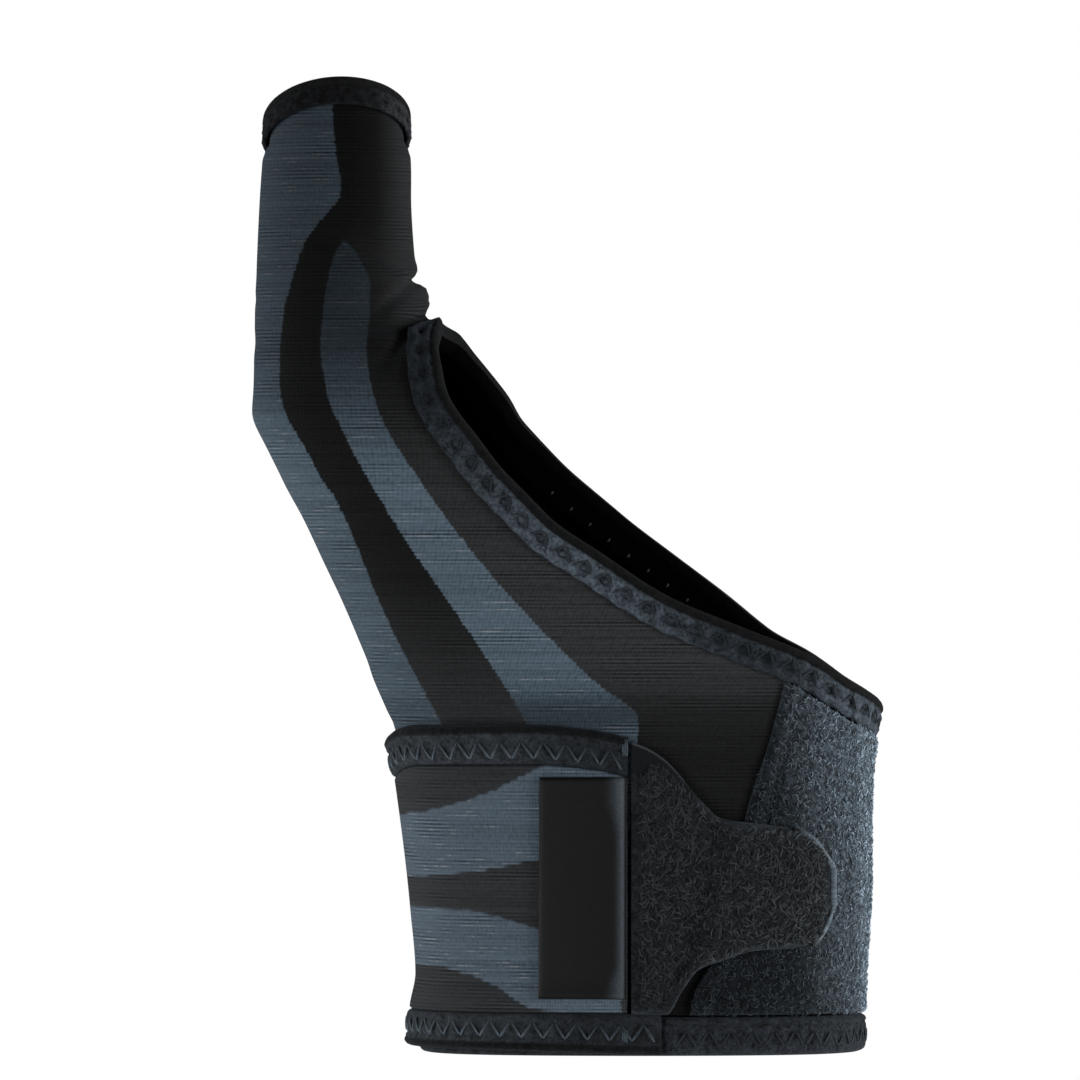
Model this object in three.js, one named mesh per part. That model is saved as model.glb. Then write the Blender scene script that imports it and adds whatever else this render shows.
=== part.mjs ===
// A wrist brace with a thumb spica, as worn on a right hand and seen from the back of the hand.
// Millimetres, +Z up along the forearm, the back of the hand faces -Y and the thumb is on the -X side.
// The origin is the centre of the wrist opening at the cuff's lower edge.
import * as THREE from "three";

const radians = THREE.MathUtils.degToRad;

// Driving dimensions of the knitted sleeve
const sleeveHeight = 143.5; // cuff edge to the thumb rim, at the side of the tube
const wristWidth = 67;
const wristDepth = 44.6;
const thumbWidth = 23.6;
const thumbDepth = 22.6;
const thumbReach = 46.2; // wrist centre line to thumb centre line, sideways
const thumbLean = radians(22); // the tube leans towards the palm
const wristSquareness = 0.04; // 0 is an ellipse
const wall = 1.6;
const rimRiseFront = 1.1; // the thumb rim stands this much higher at the front
const rimRiseRight = 0.5; // and on the side of the hand opening

// Driving dimensions of the pieces sewn or laid on it
const gap = 0.3; // clearance between touching cloths
const bindingGap = 0.45; // clearance between a cloth and the binding folded round its edge
const cuffHemHeight = 5.9;
const cuffHemProud = 0.9;
const openingHemWidth = 4.2;
const openingHemTurnIn = 4; // part folded to the inside
const webHemShare = 0.25; // the hem narrows to this share of its width between thumb and hand
const webHemSpread = 9; // length of hem that narrows, each way
const thumbHemWidth = 3.5;
const thumbHemTurnIn = 3;
const bindingThickness = 0.8;
const bindingRoll = 0.85; // thickness of the rolled edge past the cloth's edge
const loopThickness = 1.2;
const strapHeight = 50.4;
const strapThickness = 1.3;
const strapHemHeight = 5.8;
const strapHemThickness = 1.6;
const strapEndTurn = radians(282); // sewn end, on the palm side
const seamAcross = -1.2; // upright seam between strap and tab, from the wrist centre line
const tabReach = 29.6; // seam to the end of the tongue
const tabThickness = 1.6;
const tabRampStart = 4.5; // the tab starts to rise this far before the loop panel's front edge
const tabRampLength = 3.5;
const labelWidth = 12.9;
const labelHeight = 0.669 * strapHeight;
const labelCentreHeight = 0.508 * strapHeight;
const labelThickness = 1.0;
const labelRound = 0.14; // share of the label's width that rounds down to its seam edge
const labelEdgeKeep = 0.55; // share of its thickness left there

// Mesh fineness
const sleeveColumns = 36;
const cornerCrowding = 1.25; // over 1 draws the rows beside the opening towards its lowest point
const belowRows = 8; // rows of the sleeve below, beside and above the hand opening
const besideRows = 22;
const foldRows = 6;
const hemShares = [0.85, 0.883, 0.918, 0.955, 0.972, 1]; // rows of the tube, as shares of sleeveHeight
const rimStations = 60;
const ringStations = 30;
const tabColumns = [0, 0.06, 0.12, 0.17, 0.22, 0.28, 0.34, 0.42, 0.52, 0.64, 0.76, 0.86, 0.93, 0.97, 1];

// Sections of the sleeve from cuff to thumb rim. at: share of sleeveHeight. centre: share of thumbReach.
// mix: 0 is the wrist's width and depth, 1 the thumb's. swell: factor on that width.
// front, back: where the cloth's edge crosses the section, as a share of its width from the thumb side.
const sections = [
  { at: 0.0, centre: -0.016, mix: 0, swell: 0.987, front: 1, back: 1 },
  { at: 0.087, centre: -0.022, mix: 0, swell: 0.991, front: 1, back: 1 },
  { at: 0.153, centre: -0.02, mix: 0, swell: 1.012, front: 1, back: 1 },
  { at: 0.289, centre: 0.002, mix: 0, swell: 1.052, front: 1, back: 1 },
  { at: 0.35, centre: 0.009, mix: 0, swell: 1.096, front: 1, back: 1 },
  { at: 0.364, centre: 0.013, mix: 0, swell: 1.12, front: 1, back: 1 },
  { at: 0.397, centre: 0.032, mix: 0, swell: 1.155, front: 0.915, back: 0.922 },
  { at: 0.418, centre: 0.05, mix: 0.01, swell: 1.168, front: 0.866, back: 0.878 },
  { at: 0.445, centre: 0.089, mix: 0.04, swell: 1.185, front: 0.766, back: 0.814 },
  { at: 0.482, centre: 0.163, mix: 0.1, swell: 1.198, front: 0.652, back: 0.783 },
  { at: 0.525, centre: 0.254, mix: 0.18, swell: 1.225, front: 0.585, back: 0.738 },
  { at: 0.568, centre: 0.356, mix: 0.27, swell: 1.246, front: 0.53, back: 0.702 },
  { at: 0.611, centre: 0.478, mix: 0.38, swell: 1.271, front: 0.526, back: 0.69 },
  { at: 0.654, centre: 0.619, mix: 0.51, swell: 1.274, front: 0.558, back: 0.72 },
  { at: 0.676, centre: 0.696, mix: 0.59, swell: 1.263, front: 0.585, back: 0.757 },
  { at: 0.697, centre: 0.753, mix: 0.67, swell: 1.256, front: 0.609, back: 0.803 },
  { at: 0.74, centre: 0.845, mix: 0.81, swell: 1.23, front: 0.703, back: 0.85 },
  { at: 0.761, centre: 0.894, mix: 0.88, swell: 1.19, front: 0.786, back: 0.89 },
  { at: 0.785, centre: 0.98, mix: 0.955, swell: 1.035, front: 1, back: 1 },
  { at: 0.802, centre: 0.992, mix: 0.98, swell: 1.03, front: 1, back: 1 },
  { at: 0.816, centre: 0.991, mix: 0.99, swell: 1.055, front: 1, back: 1 },
  { at: 0.847, centre: 0.998, mix: 1, swell: 1.034, front: 1, back: 1 },
  { at: 0.906, centre: 1.001, mix: 1, swell: 0.996, front: 1, back: 1 },
  { at: 0.955, centre: 0.998, mix: 1, swell: 0.975, front: 1, back: 1 },
  { at: 0.972, centre: 0.998, mix: 1, swell: 0.885, front: 1, back: 1 },
  { at: 1, centre: 0.998, mix: 1, swell: 0.87, front: 1, back: 1 },
];
const cornerShare = 0.364; // lowest point of the hand opening, at the little-finger side
const webShare = 0.785; // highest point of the hand opening, between thumb and hand

// Gathers where the tube meets the hand. at: share of sleeveHeight. turn: degrees round the section.
// depth: share of thumbWidth, positive pulls in. tall: share of sleeveHeight. wide: degrees.
// rise: how much the fold climbs per radian, as a share of sleeveHeight.
const gathers = [
  { at: 0.83, turn: 25, depth: 0.055, tall: 0.007, wide: 65, rise: 0.01 },
  { at: 0.817, turn: 30, depth: -0.02, tall: 0.006, wide: 50, rise: 0.012 },
  { at: 0.68, turn: 168, depth: -0.02, tall: 0.02, wide: 40, rise: 0 },
];

// Top edge of the strap. turn: share of a half turn from the front to the back. drop: share of strapHeight.
const strapTopEdge = [
  { at: 0.0, drop: 0.042 },
  { at: 0.05, drop: 0.014 },
  { at: 0.12, drop: 0 },
  { at: 0.33, drop: 0.002 },
  { at: 0.5, drop: 0.044 },
  { at: 0.7, drop: 0.06 },
  { at: 1, drop: 0.06 },
];

// Outline of the hook tab. at: share of tabReach from the seam. top, bottom: shares of strapHeight.
const tabOutline = [
  { at: 0, top: 0.95, bottom: 0.125 },
  { at: 0.084, top: 0.93, bottom: 0.125 },
  { at: 0.179, top: 0.893, bottom: 0.125 },
  { at: 0.264, top: 0.838, bottom: 0.2 },
  { at: 0.348, top: 0.78, bottom: 0.262 },
  { at: 0.474, top: 0.716, bottom: 0.29 },
  { at: 0.632, top: 0.702, bottom: 0.318 },
  { at: 0.8, top: 0.688, bottom: 0.324 },
  { at: 0.9, top: 0.656, bottom: 0.338 },
  { at: 0.96, top: 0.614, bottom: 0.388 },
  { at: 1, top: 0.565, bottom: 0.46 },
];

// Front edge of the loop panel. at: share of sleeveHeight. across: share of half the wrist's width.
const loopFrontEdge = [
  { at: 0.04, across: 0.24 },
  { at: 0.07, across: 0.27 },
  { at: 0.1, across: 0.345 },
  { at: 0.15, across: 0.4 },
  { at: 0.27, across: 0.515 },
  { at: 0.33, across: 0.6 },
  { at: 0.4, across: 0.68 },
];
const loopBackTurn = radians(-60);
const loopBottom = cuffHemHeight + gap;

const clamp01 = (t) => Math.min(1, Math.max(0, t));
const smooth = (t) => clamp01(t) ** 2 * (3 - 2 * clamp01(t));
const mix = (a, b, t) => a + (b - a) * t;
const steps = (from, to, count) => Array.from({ length: count + 1 }, (_, i) => mix(from, to, i / count));

// A smooth curve through one column of a table, which never overshoots its rows.
function columnCurve(rows, key) {
  const at = rows.map((row) => row.at);
  const value = rows.map((row) => row[key]);
  const rise = at.slice(1).map((a, i) => (value[i + 1] - value[i]) / (a - at[i]));
  const slope = value.map((_, i) => {
    if (i === 0) return rise[0];
    if (i === rise.length) return rise[i - 1];
    const [before, after] = [rise[i - 1], rise[i]];
    return before * after <= 0 ? 0 : (2 * before * after) / (before + after);
  });
  return (t) => {
    let i = at.findIndex((a) => a > t) - 1;
    if (i === -2) i = at.length - 2;
    i = Math.max(0, i);
    const span = at[i + 1] - at[i];
    const u = clamp01((t - at[i]) / span);
    const bend = u * (1 - u) * ((1 - u) * (slope[i] * span) - u * (slope[i + 1] * span));
    return mix(value[i], value[i + 1], smooth(u)) + bend;
  };
}

const sectionColumns = Object.fromEntries(
  ["centre", "mix", "swell", "front", "back"].map((key) => [key, columnCurve(sections, key)]),
);

// The tube starts to lean at leanStart and has its full lean after leanBlend, eased at both ends.
const leanStart = 0.68 * sleeveHeight;
const leanBlend = 0.1 * sleeveHeight;
function leanAt(height) {
  const t = Math.max(0, height - leanStart) / leanBlend;
  const eased = t < 1 ? t ** 3 - t ** 4 / 2 : t - 0.5;
  const slope = Math.tan(thumbLean);
  return { angle: Math.atan(slope * smooth(t)), shift: slope * leanBlend * eased };
}

// The sections stay level up to the hand opening's highest point, and tilt with the tube above it.
const tiltBlend = 0.09;
const tiltAt = (share, angle) => angle * smooth((share - webShare) / tiltBlend);

// The thumb rim isn't quite square to the tube.
function rimRise(share, turn) {
  return smooth((share - 0.9) / 0.1) * (rimRiseFront * Math.sin(turn) + rimRiseRight * Math.cos(turn));
}

function sectionAt(height) {
  const share = height / sleeveHeight;
  const blend = sectionColumns.mix(share);
  return {
    centre: -sectionColumns.centre(share) * thumbReach,
    width: sectionColumns.swell(share) * mix(wristWidth, thumbWidth, blend),
    depth: mix(wristDepth, thumbDepth, blend),
    square: wristSquareness * (1 - blend),
    front: sectionColumns.front(share),
    back: sectionColumns.back(share),
    ...leanAt(height),
  };
}

function gatherAt(height, turn) {
  return gathers.reduce((sum, fold) => {
    const past = turn - radians(fold.turn);
    const away = Math.atan2(Math.sin(past), Math.cos(past));
    const up = height / sleeveHeight - fold.at - fold.rise * away;
    const across = away / radians(fold.wide);
    return sum - fold.depth * thumbWidth * Math.exp(-((up / fold.tall) ** 2) - across ** 2);
  }, 0);
}

const acrossShape = (turn, square) => (Math.cos(turn) - square * Math.cos(3 * turn)) / (1 - square);
const depthShape = (turn, square) => (Math.sin(turn) + square * Math.sin(3 * turn)) / (1 - square);

// A point of the sleeve's outer face. turn 0 is the little-finger side, a quarter turn the back of the hand.
function facePoint(height, turn) {
  const s = sectionAt(height);
  const fold = gatherAt(height, turn);
  const across = (s.width / 2 + fold) * acrossShape(turn, s.square);
  const deep = -(s.depth / 2 + fold) * depthShape(turn, s.square);
  const share = height / sleeveHeight;
  const tilt = tiltAt(share, s.angle);
  return new THREE.Vector3(
    s.centre + across,
    s.shift + deep * Math.cos(tilt),
    height + rimRise(share, turn) - deep * Math.sin(tilt),
  );
}

const nudge = 0.02;
function faceFrame(height, turn) {
  const up = facePoint(height + nudge, turn).sub(facePoint(height - nudge, turn)).divideScalar(2 * nudge);
  const round = facePoint(height, turn + nudge).sub(facePoint(height, turn - nudge)).divideScalar(2 * nudge);
  return { up, round, normal: up.clone().cross(round).normalize() };
}

function lifted(height, turn, lift) {
  return facePoint(height, turn).addScaledVector(faceFrame(height, turn).normal, lift);
}

// Walks over the sleeve's face from a place in a direction, and returns the place reached.
function walk(place, direction, distance) {
  const legs = 3;
  let { height, turn } = place;
  for (let i = 0; i < legs; i++) {
    const { up, round, normal } = faceFrame(height, turn);
    const flat = direction.clone().addScaledVector(normal, -direction.dot(normal)).normalize();
    const [uu, ur, rr] = [up.dot(up), up.dot(round), round.dot(round)];
    const [du, dr] = [flat.dot(up), flat.dot(round)];
    const det = uu * rr - ur * ur;
    height += ((du * rr - dr * ur) / det) * (distance / legs);
    turn += ((dr * uu - du * ur) / det) * (distance / legs);
  }
  return { height, turn };
}

// The turn, on the back of the hand, where a section crosses a given sideways position.
function turnAcross(height, across) {
  const s = sectionAt(height);
  let [low, high] = [0, Math.PI];
  for (let i = 0; i < 40; i++) {
    const middle = (low + high) / 2;
    const x = s.centre + (s.width / 2) * acrossShape(middle, s.square);
    if (x > across) low = middle;
    else high = middle;
  }
  return (low + high) / 2;
}

function rimTurn(height, side) {
  const s = sectionAt(height);
  const share = s[side];
  return share > 0.9999 ? 0 : turnAcross(height, s.centre + s.width * (share - 0.5));
}

// Turns two faces of points, each a list of rows, into one closed solid.
function solidFromGrids(outer, inner, closedRow = () => false) {
  const rows = outer.length;
  const columns = outer[0].length;
  const positions = [];
  const index = [outer, inner].map((grid) =>
    grid.map((row, i) =>
      row.map((point, j) => {
        if (closedRow(i) && j === columns - 1) return null;
        positions.push(point.x, point.y, point.z);
        return positions.length / 3 - 1;
      }),
    ),
  );
  index.forEach((grid) => grid.forEach((row, i) => closedRow(i) && (row[columns - 1] = row[0])));
  const [out, inn] = index;
  const triangles = [];
  const quad = (a, b, c, d) => triangles.push(a, b, c, a, c, d);
  for (let i = 0; i < rows - 1; i++)
    for (let j = 0; j < columns - 1; j++) {
      quad(out[i][j], out[i][j + 1], out[i + 1][j + 1], out[i + 1][j]);
      quad(inn[i][j], inn[i + 1][j], inn[i + 1][j + 1], inn[i][j + 1]);
    }
  for (let j = 0; j < columns - 1; j++) {
    quad(inn[0][j], inn[0][j + 1], out[0][j + 1], out[0][j]);
    quad(out[rows - 1][j], out[rows - 1][j + 1], inn[rows - 1][j + 1], inn[rows - 1][j]);
  }
  for (let i = 0; i < rows - 1; i++) {
    if (closedRow(i) && closedRow(i + 1)) continue;
    const last = columns - 1;
    quad(inn[i][0], out[i][0], out[i + 1][0], inn[i + 1][0]);
    quad(out[i][last], inn[i][last], inn[i + 1][last], out[i + 1][last]);
  }
  return geometryOf(positions, triangles);
}

function geometryOf(positions, triangles) {
  const geometry = new THREE.BufferGeometry();
  geometry.setAttribute("position", new THREE.Float32BufferAttribute(positions, 3));
  geometry.setIndex(triangles);
  if (signedVolume(positions, triangles) < 0) geometry.setIndex(triangles.slice().reverse());
  geometry.computeVertexNormals();
  return geometry;
}

function signedVolume(positions, triangles) {
  const corner = (i) => new THREE.Vector3().fromArray(positions, 3 * triangles[i]);
  let volume = 0;
  for (let i = 0; i < triangles.length; i += 3)
    volume += corner(i).dot(corner(i + 1).cross(corner(i + 2))) / 6;
  return volume;
}

// Sweeps a closed section round a closed loop of stations, each a list of points.
function solidFromLoop(stations) {
  const count = stations.length;
  const size = stations[0].length;
  const positions = stations.flat().flatMap((p) => [p.x, p.y, p.z]);
  const triangles = [];
  for (let i = 0; i < count; i++)
    for (let j = 0; j < size; j++) {
      const [a, b] = [i * size + j, i * size + ((j + 1) % size)];
      const [c, d] = [((i + 1) % count) * size + ((j + 1) % size), ((i + 1) % count) * size + j];
      triangles.push(a, b, c, a, c, d);
    }
  return geometryOf(positions, triangles);
}

const sleeveRowHeights = (() => {
  const corner = cornerShare * sleeveHeight;
  const web = webShare * sleeveHeight;
  const below = steps(cuffHemHeight + gap, corner, belowRows);
  const crowded = (t) => (1 - Math.cos(Math.PI * t ** cornerCrowding)) / 2;
  const beside = steps(0, 1, besideRows).map((t) => mix(corner, web, crowded(t)));
  const fold = steps(web, hemShares[0] * sleeveHeight, foldRows);
  const tube = hemShares.map((share) => share * sleeveHeight);
  return { list: [...below, ...beside.slice(1), ...fold.slice(1), ...tube.slice(1)], corner, web };
})();

function makeSleeve() {
  const { list, corner, web } = sleeveRowHeights;
  const closed = list.map((height) => height <= corner + 1e-6 || height >= web - 1e-6);
  const grid = (lift) =>
    list.map((height, i) => {
      const from = closed[i] ? 0 : rimTurn(height, "front");
      const to = 2 * Math.PI - (closed[i] ? 0 : rimTurn(height, "back"));
      return steps(from, to, sleeveColumns).map((turn) => lifted(height, turn, lift));
    });
  return solidFromGrids(grid(0), grid(-wall), (i) => closed[i]);
}

// Places along the edge of the hand opening, evenly spaced, up the front and down the back.
function openingRim() {
  const { corner, web } = sleeveRowHeights;
  const fine = steps(0, 1, 200).map((t) => mix(corner, web, (1 - Math.cos(Math.PI * t)) / 2));
  const front = fine.map((height) => ({ height, turn: rimTurn(height, "front") }));
  const back = fine.map((height) => ({ height, turn: -rimTurn(height, "back") })).reverse();
  return evenly([...front, ...back.slice(1, -1)], rimStations);
}

function thumbRim() {
  return steps(0, 2 * Math.PI, ringStations)
    .slice(0, -1)
    .map((turn) => ({ height: sleeveHeight, turn }));
}

function evenly(places, count) {
  const loop = [...places, places[0]];
  const points = loop.map((place) => facePoint(place.height, place.turn));
  const along = [0];
  for (let i = 1; i < loop.length; i++) along.push(along[i - 1] + points[i].distanceTo(points[i - 1]));
  const total = along[along.length - 1];
  return steps(0, total, count)
    .slice(0, -1)
    .map((distance) => {
      const i = Math.max(1, along.findIndex((a) => a > distance));
      const t = (distance - along[i - 1]) / (along[i] - along[i - 1]);
      return {
        height: mix(loop[i - 1].height, loop[i].height, t),
        turn: mix(loop[i - 1].turn, loop[i].turn, t),
      };
    });
}

// Directions at each place of a rim: out is the face's normal, inward runs into the cloth.
function rimFrames(rim) {
  return rim.map((place, i) => {
    const before = rim[(i + rim.length - 1) % rim.length];
    const after = rim[(i + 1) % rim.length];
    const along = facePoint(after.height, after.turn).sub(facePoint(before.height, before.turn)).normalize();
    const out = faceFrame(place.height, place.turn).normal;
    const inward = out.clone().cross(along).normalize();
    return { place, point: facePoint(place.height, place.turn), out, inward };
  });
}

function rimPoint(frame, inward, lift) {
  if (inward <= 0)
    return frame.point.clone().addScaledVector(frame.inward, inward).addScaledVector(frame.out, lift);
  const reached = walk(frame.place, frame.inward, inward);
  return lifted(reached.height, reached.turn, lift);
}

// A folded binding: one leg outside the cloth, a rolled edge, one leg inside. share narrows both legs.
function makeBinding(rim, width, turnIn, share = () => 1) {
  const outside = bindingGap + bindingThickness;
  const inside = -wall - bindingGap;
  const roll = -bindingGap - bindingRoll;
  const section = [
    [width, bindingGap],
    [width, outside - 0.1],
    [width / 2, outside],
    [0, outside],
    [roll * 0.75, outside * 0.7],
    [roll, 0],
    [roll, -wall],
    [roll * 0.75, inside - bindingThickness * 0.7],
    [0, inside - bindingThickness],
    [turnIn, inside - bindingThickness],
    [turnIn, inside],
    [-bindingGap, inside],
    [-bindingGap, bindingGap],
    [width / 2, bindingGap],
  ];
  return solidFromLoop(
    rimFrames(rim).map((frame) => {
      const narrow = share(frame.point);
      return section.map(([inward, lift]) => {
        const keep = lift < 0 ? narrow ** 2 : narrow; // the inner leg narrows more
        return rimPoint(frame, inward > 0 ? inward * keep : inward, lift);
      });
    }),
  );
}

// Share of its full width that the opening's hem keeps at a point of the rim.
function openingHemShare(point) {
  const away = point.distanceTo(facePoint(webShare * sleeveHeight, 0)) / webHemSpread;
  return 1 - (1 - webHemShare) * Math.exp(-(away ** 2));
}

function makeCuffHem() {
  const ring = (lift) =>
    steps(0, cuffHemHeight, 2).map((height) =>
      steps(0, 2 * Math.PI, ringStations + 6).map((turn) => lifted(height, turn, lift)),
    );
  return solidFromGrids(ring(cuffHemProud), ring(-wall), () => true);
}

// How far a layer over the cuff hem is pushed out, fading above the hem.
const overCuffHem = (height) => cuffHemProud * (1 - smooth((height - cuffHemHeight - gap) / cuffHemHeight));
const strapUnderside = (height) => gap + overCuffHem(height);

const strapDrop = columnCurve(strapTopEdge, "drop");
const strapTopAt = (turn) => strapHeight * (1 - strapDrop(clamp01((turn - Math.PI / 2) / Math.PI)));
const strapBottomAt = (turn) => 0.9 * smooth((turn - 1.2) / 1.2);

function makeStrapBand(fromAcross, bottom, top, rows, columns, thickness) {
  const grid = (extra) =>
    steps(0, 1, rows).map((v) =>
      steps(0, 1, columns).map((u) => {
        const seamTurn = turnAcross(mix(bottom(Math.PI / 2), top(Math.PI / 2), v), fromAcross);
        const turn = mix(seamTurn, strapEndTurn, u);
        const height = mix(bottom(turn), top(turn), v);
        return lifted(height, turn, strapUnderside(height) + extra);
      }),
    );
  return solidFromGrids(grid(thickness), grid(0));
}

const strapPanelBottom = cuffHemHeight + 2 * gap;
const strapPanelTop = (turn) => strapTopAt(turn) - strapHemHeight - gap;

const makeStrap = () =>
  makeStrapBand(seamAcross, () => strapPanelBottom, strapPanelTop, 4, 30, strapThickness);

const makeStrapTopHem = () =>
  makeStrapBand(seamAcross, (turn) => strapPanelTop(turn) + gap, strapTopAt, 2, 30, strapHemThickness);

const footReach = 5; // the bottom hem runs on under the tab's foot
const makeStrapBottomHem = () =>
  makeStrapBand(seamAcross + footReach, strapBottomAt, () => cuffHemHeight + gap, 2, 32, strapHemThickness);

const loopFrontAcross = columnCurve(loopFrontEdge, "across");
const loopFrontX = (height) => (loopFrontAcross(height / sleeveHeight) * wristWidth) / 2;

// The hook tab rises over the front edge of the loop panel.
const tabUnderside = (height, across) =>
  strapUnderside(height) +
  (loopThickness + gap) * smooth((across - loopFrontX(height) + tabRampStart) / tabRampLength);

function makeHookTab() {
  const top = columnCurve(tabOutline, "top");
  const bottom = columnCurve(tabOutline, "bottom");
  const grid = (extra) =>
    steps(0, 1, 8).map((v) =>
      tabColumns.map((share) => {
        const across = seamAcross + bindingGap + share * (tabReach - bindingGap);
        const height = strapHeight * mix(bottom(share), top(share), v);
        return lifted(height, turnAcross(height, across), tabUnderside(height, across) + extra);
      }),
    );
  return solidFromGrids(grid(tabThickness), grid(0));
}

function makeLoopPanel(rim) {
  // Height of the opening hem's lower edge at a turn near the little-finger side.
  const edge = rimFrames(rim)
    .map((frame) => walk(frame.place, frame.inward, openingHemWidth + gap))
    .filter((place) => Math.abs(place.turn) < 1.4 && place.height < sleeveHeight / 2)
    .sort((a, b) => a.turn - b.turn);
  const hemEdge = (turn) => {
    const i = Math.max(1, edge.findIndex((place) => place.turn > turn));
    const t = (turn - edge[i - 1].turn) / (edge[i].turn - edge[i - 1].turn);
    return mix(edge[i - 1].height, edge[i].height, t);
  };
  const grid = (lift) =>
    steps(0, 1, 10).map((v) =>
      steps(0, 1, 14).map((u) => {
        let height = mix(loopBottom, cornerShare * sleeveHeight, v);
        let turn = 0;
        for (let i = 0; i < 8; i++) {
          turn = mix(turnAcross(height, loopFrontX(height)), loopBackTurn, u);
          height = mix(loopBottom, hemEdge(turn), v);
        }
        return lifted(height, turn, lift);
      }),
    );
  return solidFromGrids(grid(gap + loopThickness), grid(gap));
}

function makeLabelPatch() {
  const right = seamAcross - gap;
  const under = (height) => strapUnderside(height) + strapThickness + gap;
  const grid = (extra) =>
    steps(-0.5, 0.5, 8).map((v) =>
      steps(0, 1, 8).map((u) => {
        const height = labelCentreHeight + v * labelHeight;
        const across = right - u * labelWidth;
        return lifted(height, turnAcross(height, across), under(height) + extra(u, v));
      }),
    );
  // It rounds down to its seam edge, and less so to its two ends.
  const crown = (u, v) => {
    const atSeam = 1 - smooth(u / labelRound);
    const atEnd = smooth((Math.abs(v) - 0.42) / 0.08);
    return labelThickness * (1 - (1 - labelEdgeKeep) * (atSeam + 0.67 * atEnd * (1 - atSeam)));
  };
  return solidFromGrids(grid(crown), grid(() => 0));
}

const slate = new THREE.MeshStandardMaterial({ color: 0x4a5a66, roughness: 0.95, metalness: 0 });
const charcoal = new THREE.MeshStandardMaterial({ color: 0x24272a, roughness: 0.95, metalness: 0 });
const hemCloth = new THREE.MeshStandardMaterial({ color: 0x2a2f34, roughness: 0.9, metalness: 0 });
const loopCloth = new THREE.MeshStandardMaterial({ color: 0x3b434a, roughness: 1, metalness: 0 });
const tabCloth = new THREE.MeshStandardMaterial({ color: 0x24282b, roughness: 1, metalness: 0 });
const labelRubber = new THREE.MeshStandardMaterial({ color: 0x101112, roughness: 0.45, metalness: 0 });

const brace = new THREE.Group();
function addPiece(name, geometry, material) {
  const mesh = new THREE.Mesh(geometry, material);
  mesh.name = name;
  brace.add(mesh);
}

const rim = openingRim();
addPiece("sleeve", makeSleeve(), slate);
addPiece("cuff_hem", makeCuffHem(), hemCloth);
const openingHem = makeBinding(rim, openingHemWidth, openingHemTurnIn, openingHemShare);
addPiece("hand_opening_hem", openingHem, hemCloth);
addPiece("thumb_hem", makeBinding(thumbRim(), thumbHemWidth, thumbHemTurnIn), charcoal);
addPiece("loop_panel", makeLoopPanel(rim), loopCloth);
addPiece("wrist_strap", makeStrap(), slate);
addPiece("strap_top_hem", makeStrapTopHem(), hemCloth);
addPiece("strap_bottom_hem", makeStrapBottomHem(), hemCloth);
addPiece("hook_tab", makeHookTab(), tabCloth);
addPiece("label_patch", makeLabelPatch(), labelRubber);

export default brace;
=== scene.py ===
# Dresses the thumb spica splint: knitted sleeve, folded hems, wrist strap, hook tab and label patch.
# Lengths in the tables are millimetres, +Z runs from the wrist to the thumb's tip and the back of the hand faces -Y.
import math

import bpy
import numpy as np
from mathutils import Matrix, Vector


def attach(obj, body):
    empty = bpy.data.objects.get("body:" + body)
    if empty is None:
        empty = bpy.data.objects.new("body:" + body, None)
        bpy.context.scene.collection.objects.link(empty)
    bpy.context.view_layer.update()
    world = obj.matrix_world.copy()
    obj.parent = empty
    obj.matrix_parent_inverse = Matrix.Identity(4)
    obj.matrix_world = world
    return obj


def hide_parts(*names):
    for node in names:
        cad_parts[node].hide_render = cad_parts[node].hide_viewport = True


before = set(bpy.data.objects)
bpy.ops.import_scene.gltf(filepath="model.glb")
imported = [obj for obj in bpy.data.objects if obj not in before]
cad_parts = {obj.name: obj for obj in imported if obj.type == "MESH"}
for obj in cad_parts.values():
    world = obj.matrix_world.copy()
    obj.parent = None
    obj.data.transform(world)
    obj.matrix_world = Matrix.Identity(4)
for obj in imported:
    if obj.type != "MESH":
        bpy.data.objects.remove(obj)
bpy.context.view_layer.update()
pi = math.pi

# The sleeve's main form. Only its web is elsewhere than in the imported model, 1.3 mm lower.
form = {
    "height": 143.5,
    "wristWidth": 67,
    "wristDepth": 44.6,
    "thumbWidth": 23.6,
    "thumbDepth": 22.6,
    "thumbReach": 46.2,  # wrist centre line to thumb centre line
    "thumbLean": math.radians(22),
    "leanStart": 0.68,  # shares of the height
    "leanBlend": 0.1,
    "squareness": 0.04,
    "wall": 1.6,
    "rimRise": (1.1, 0.5),  # the thumb rim stands higher at the front and on the right
    "tiltBlend": 0.09,
    "corner": 0.364,  # lowest and highest point of the hand opening
    "web": 0.776,
}
cornerHeight, webHeight = form["corner"] * form["height"], form["web"] * form["height"]
gap = 0.3  # clearance between touching cloths

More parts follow.
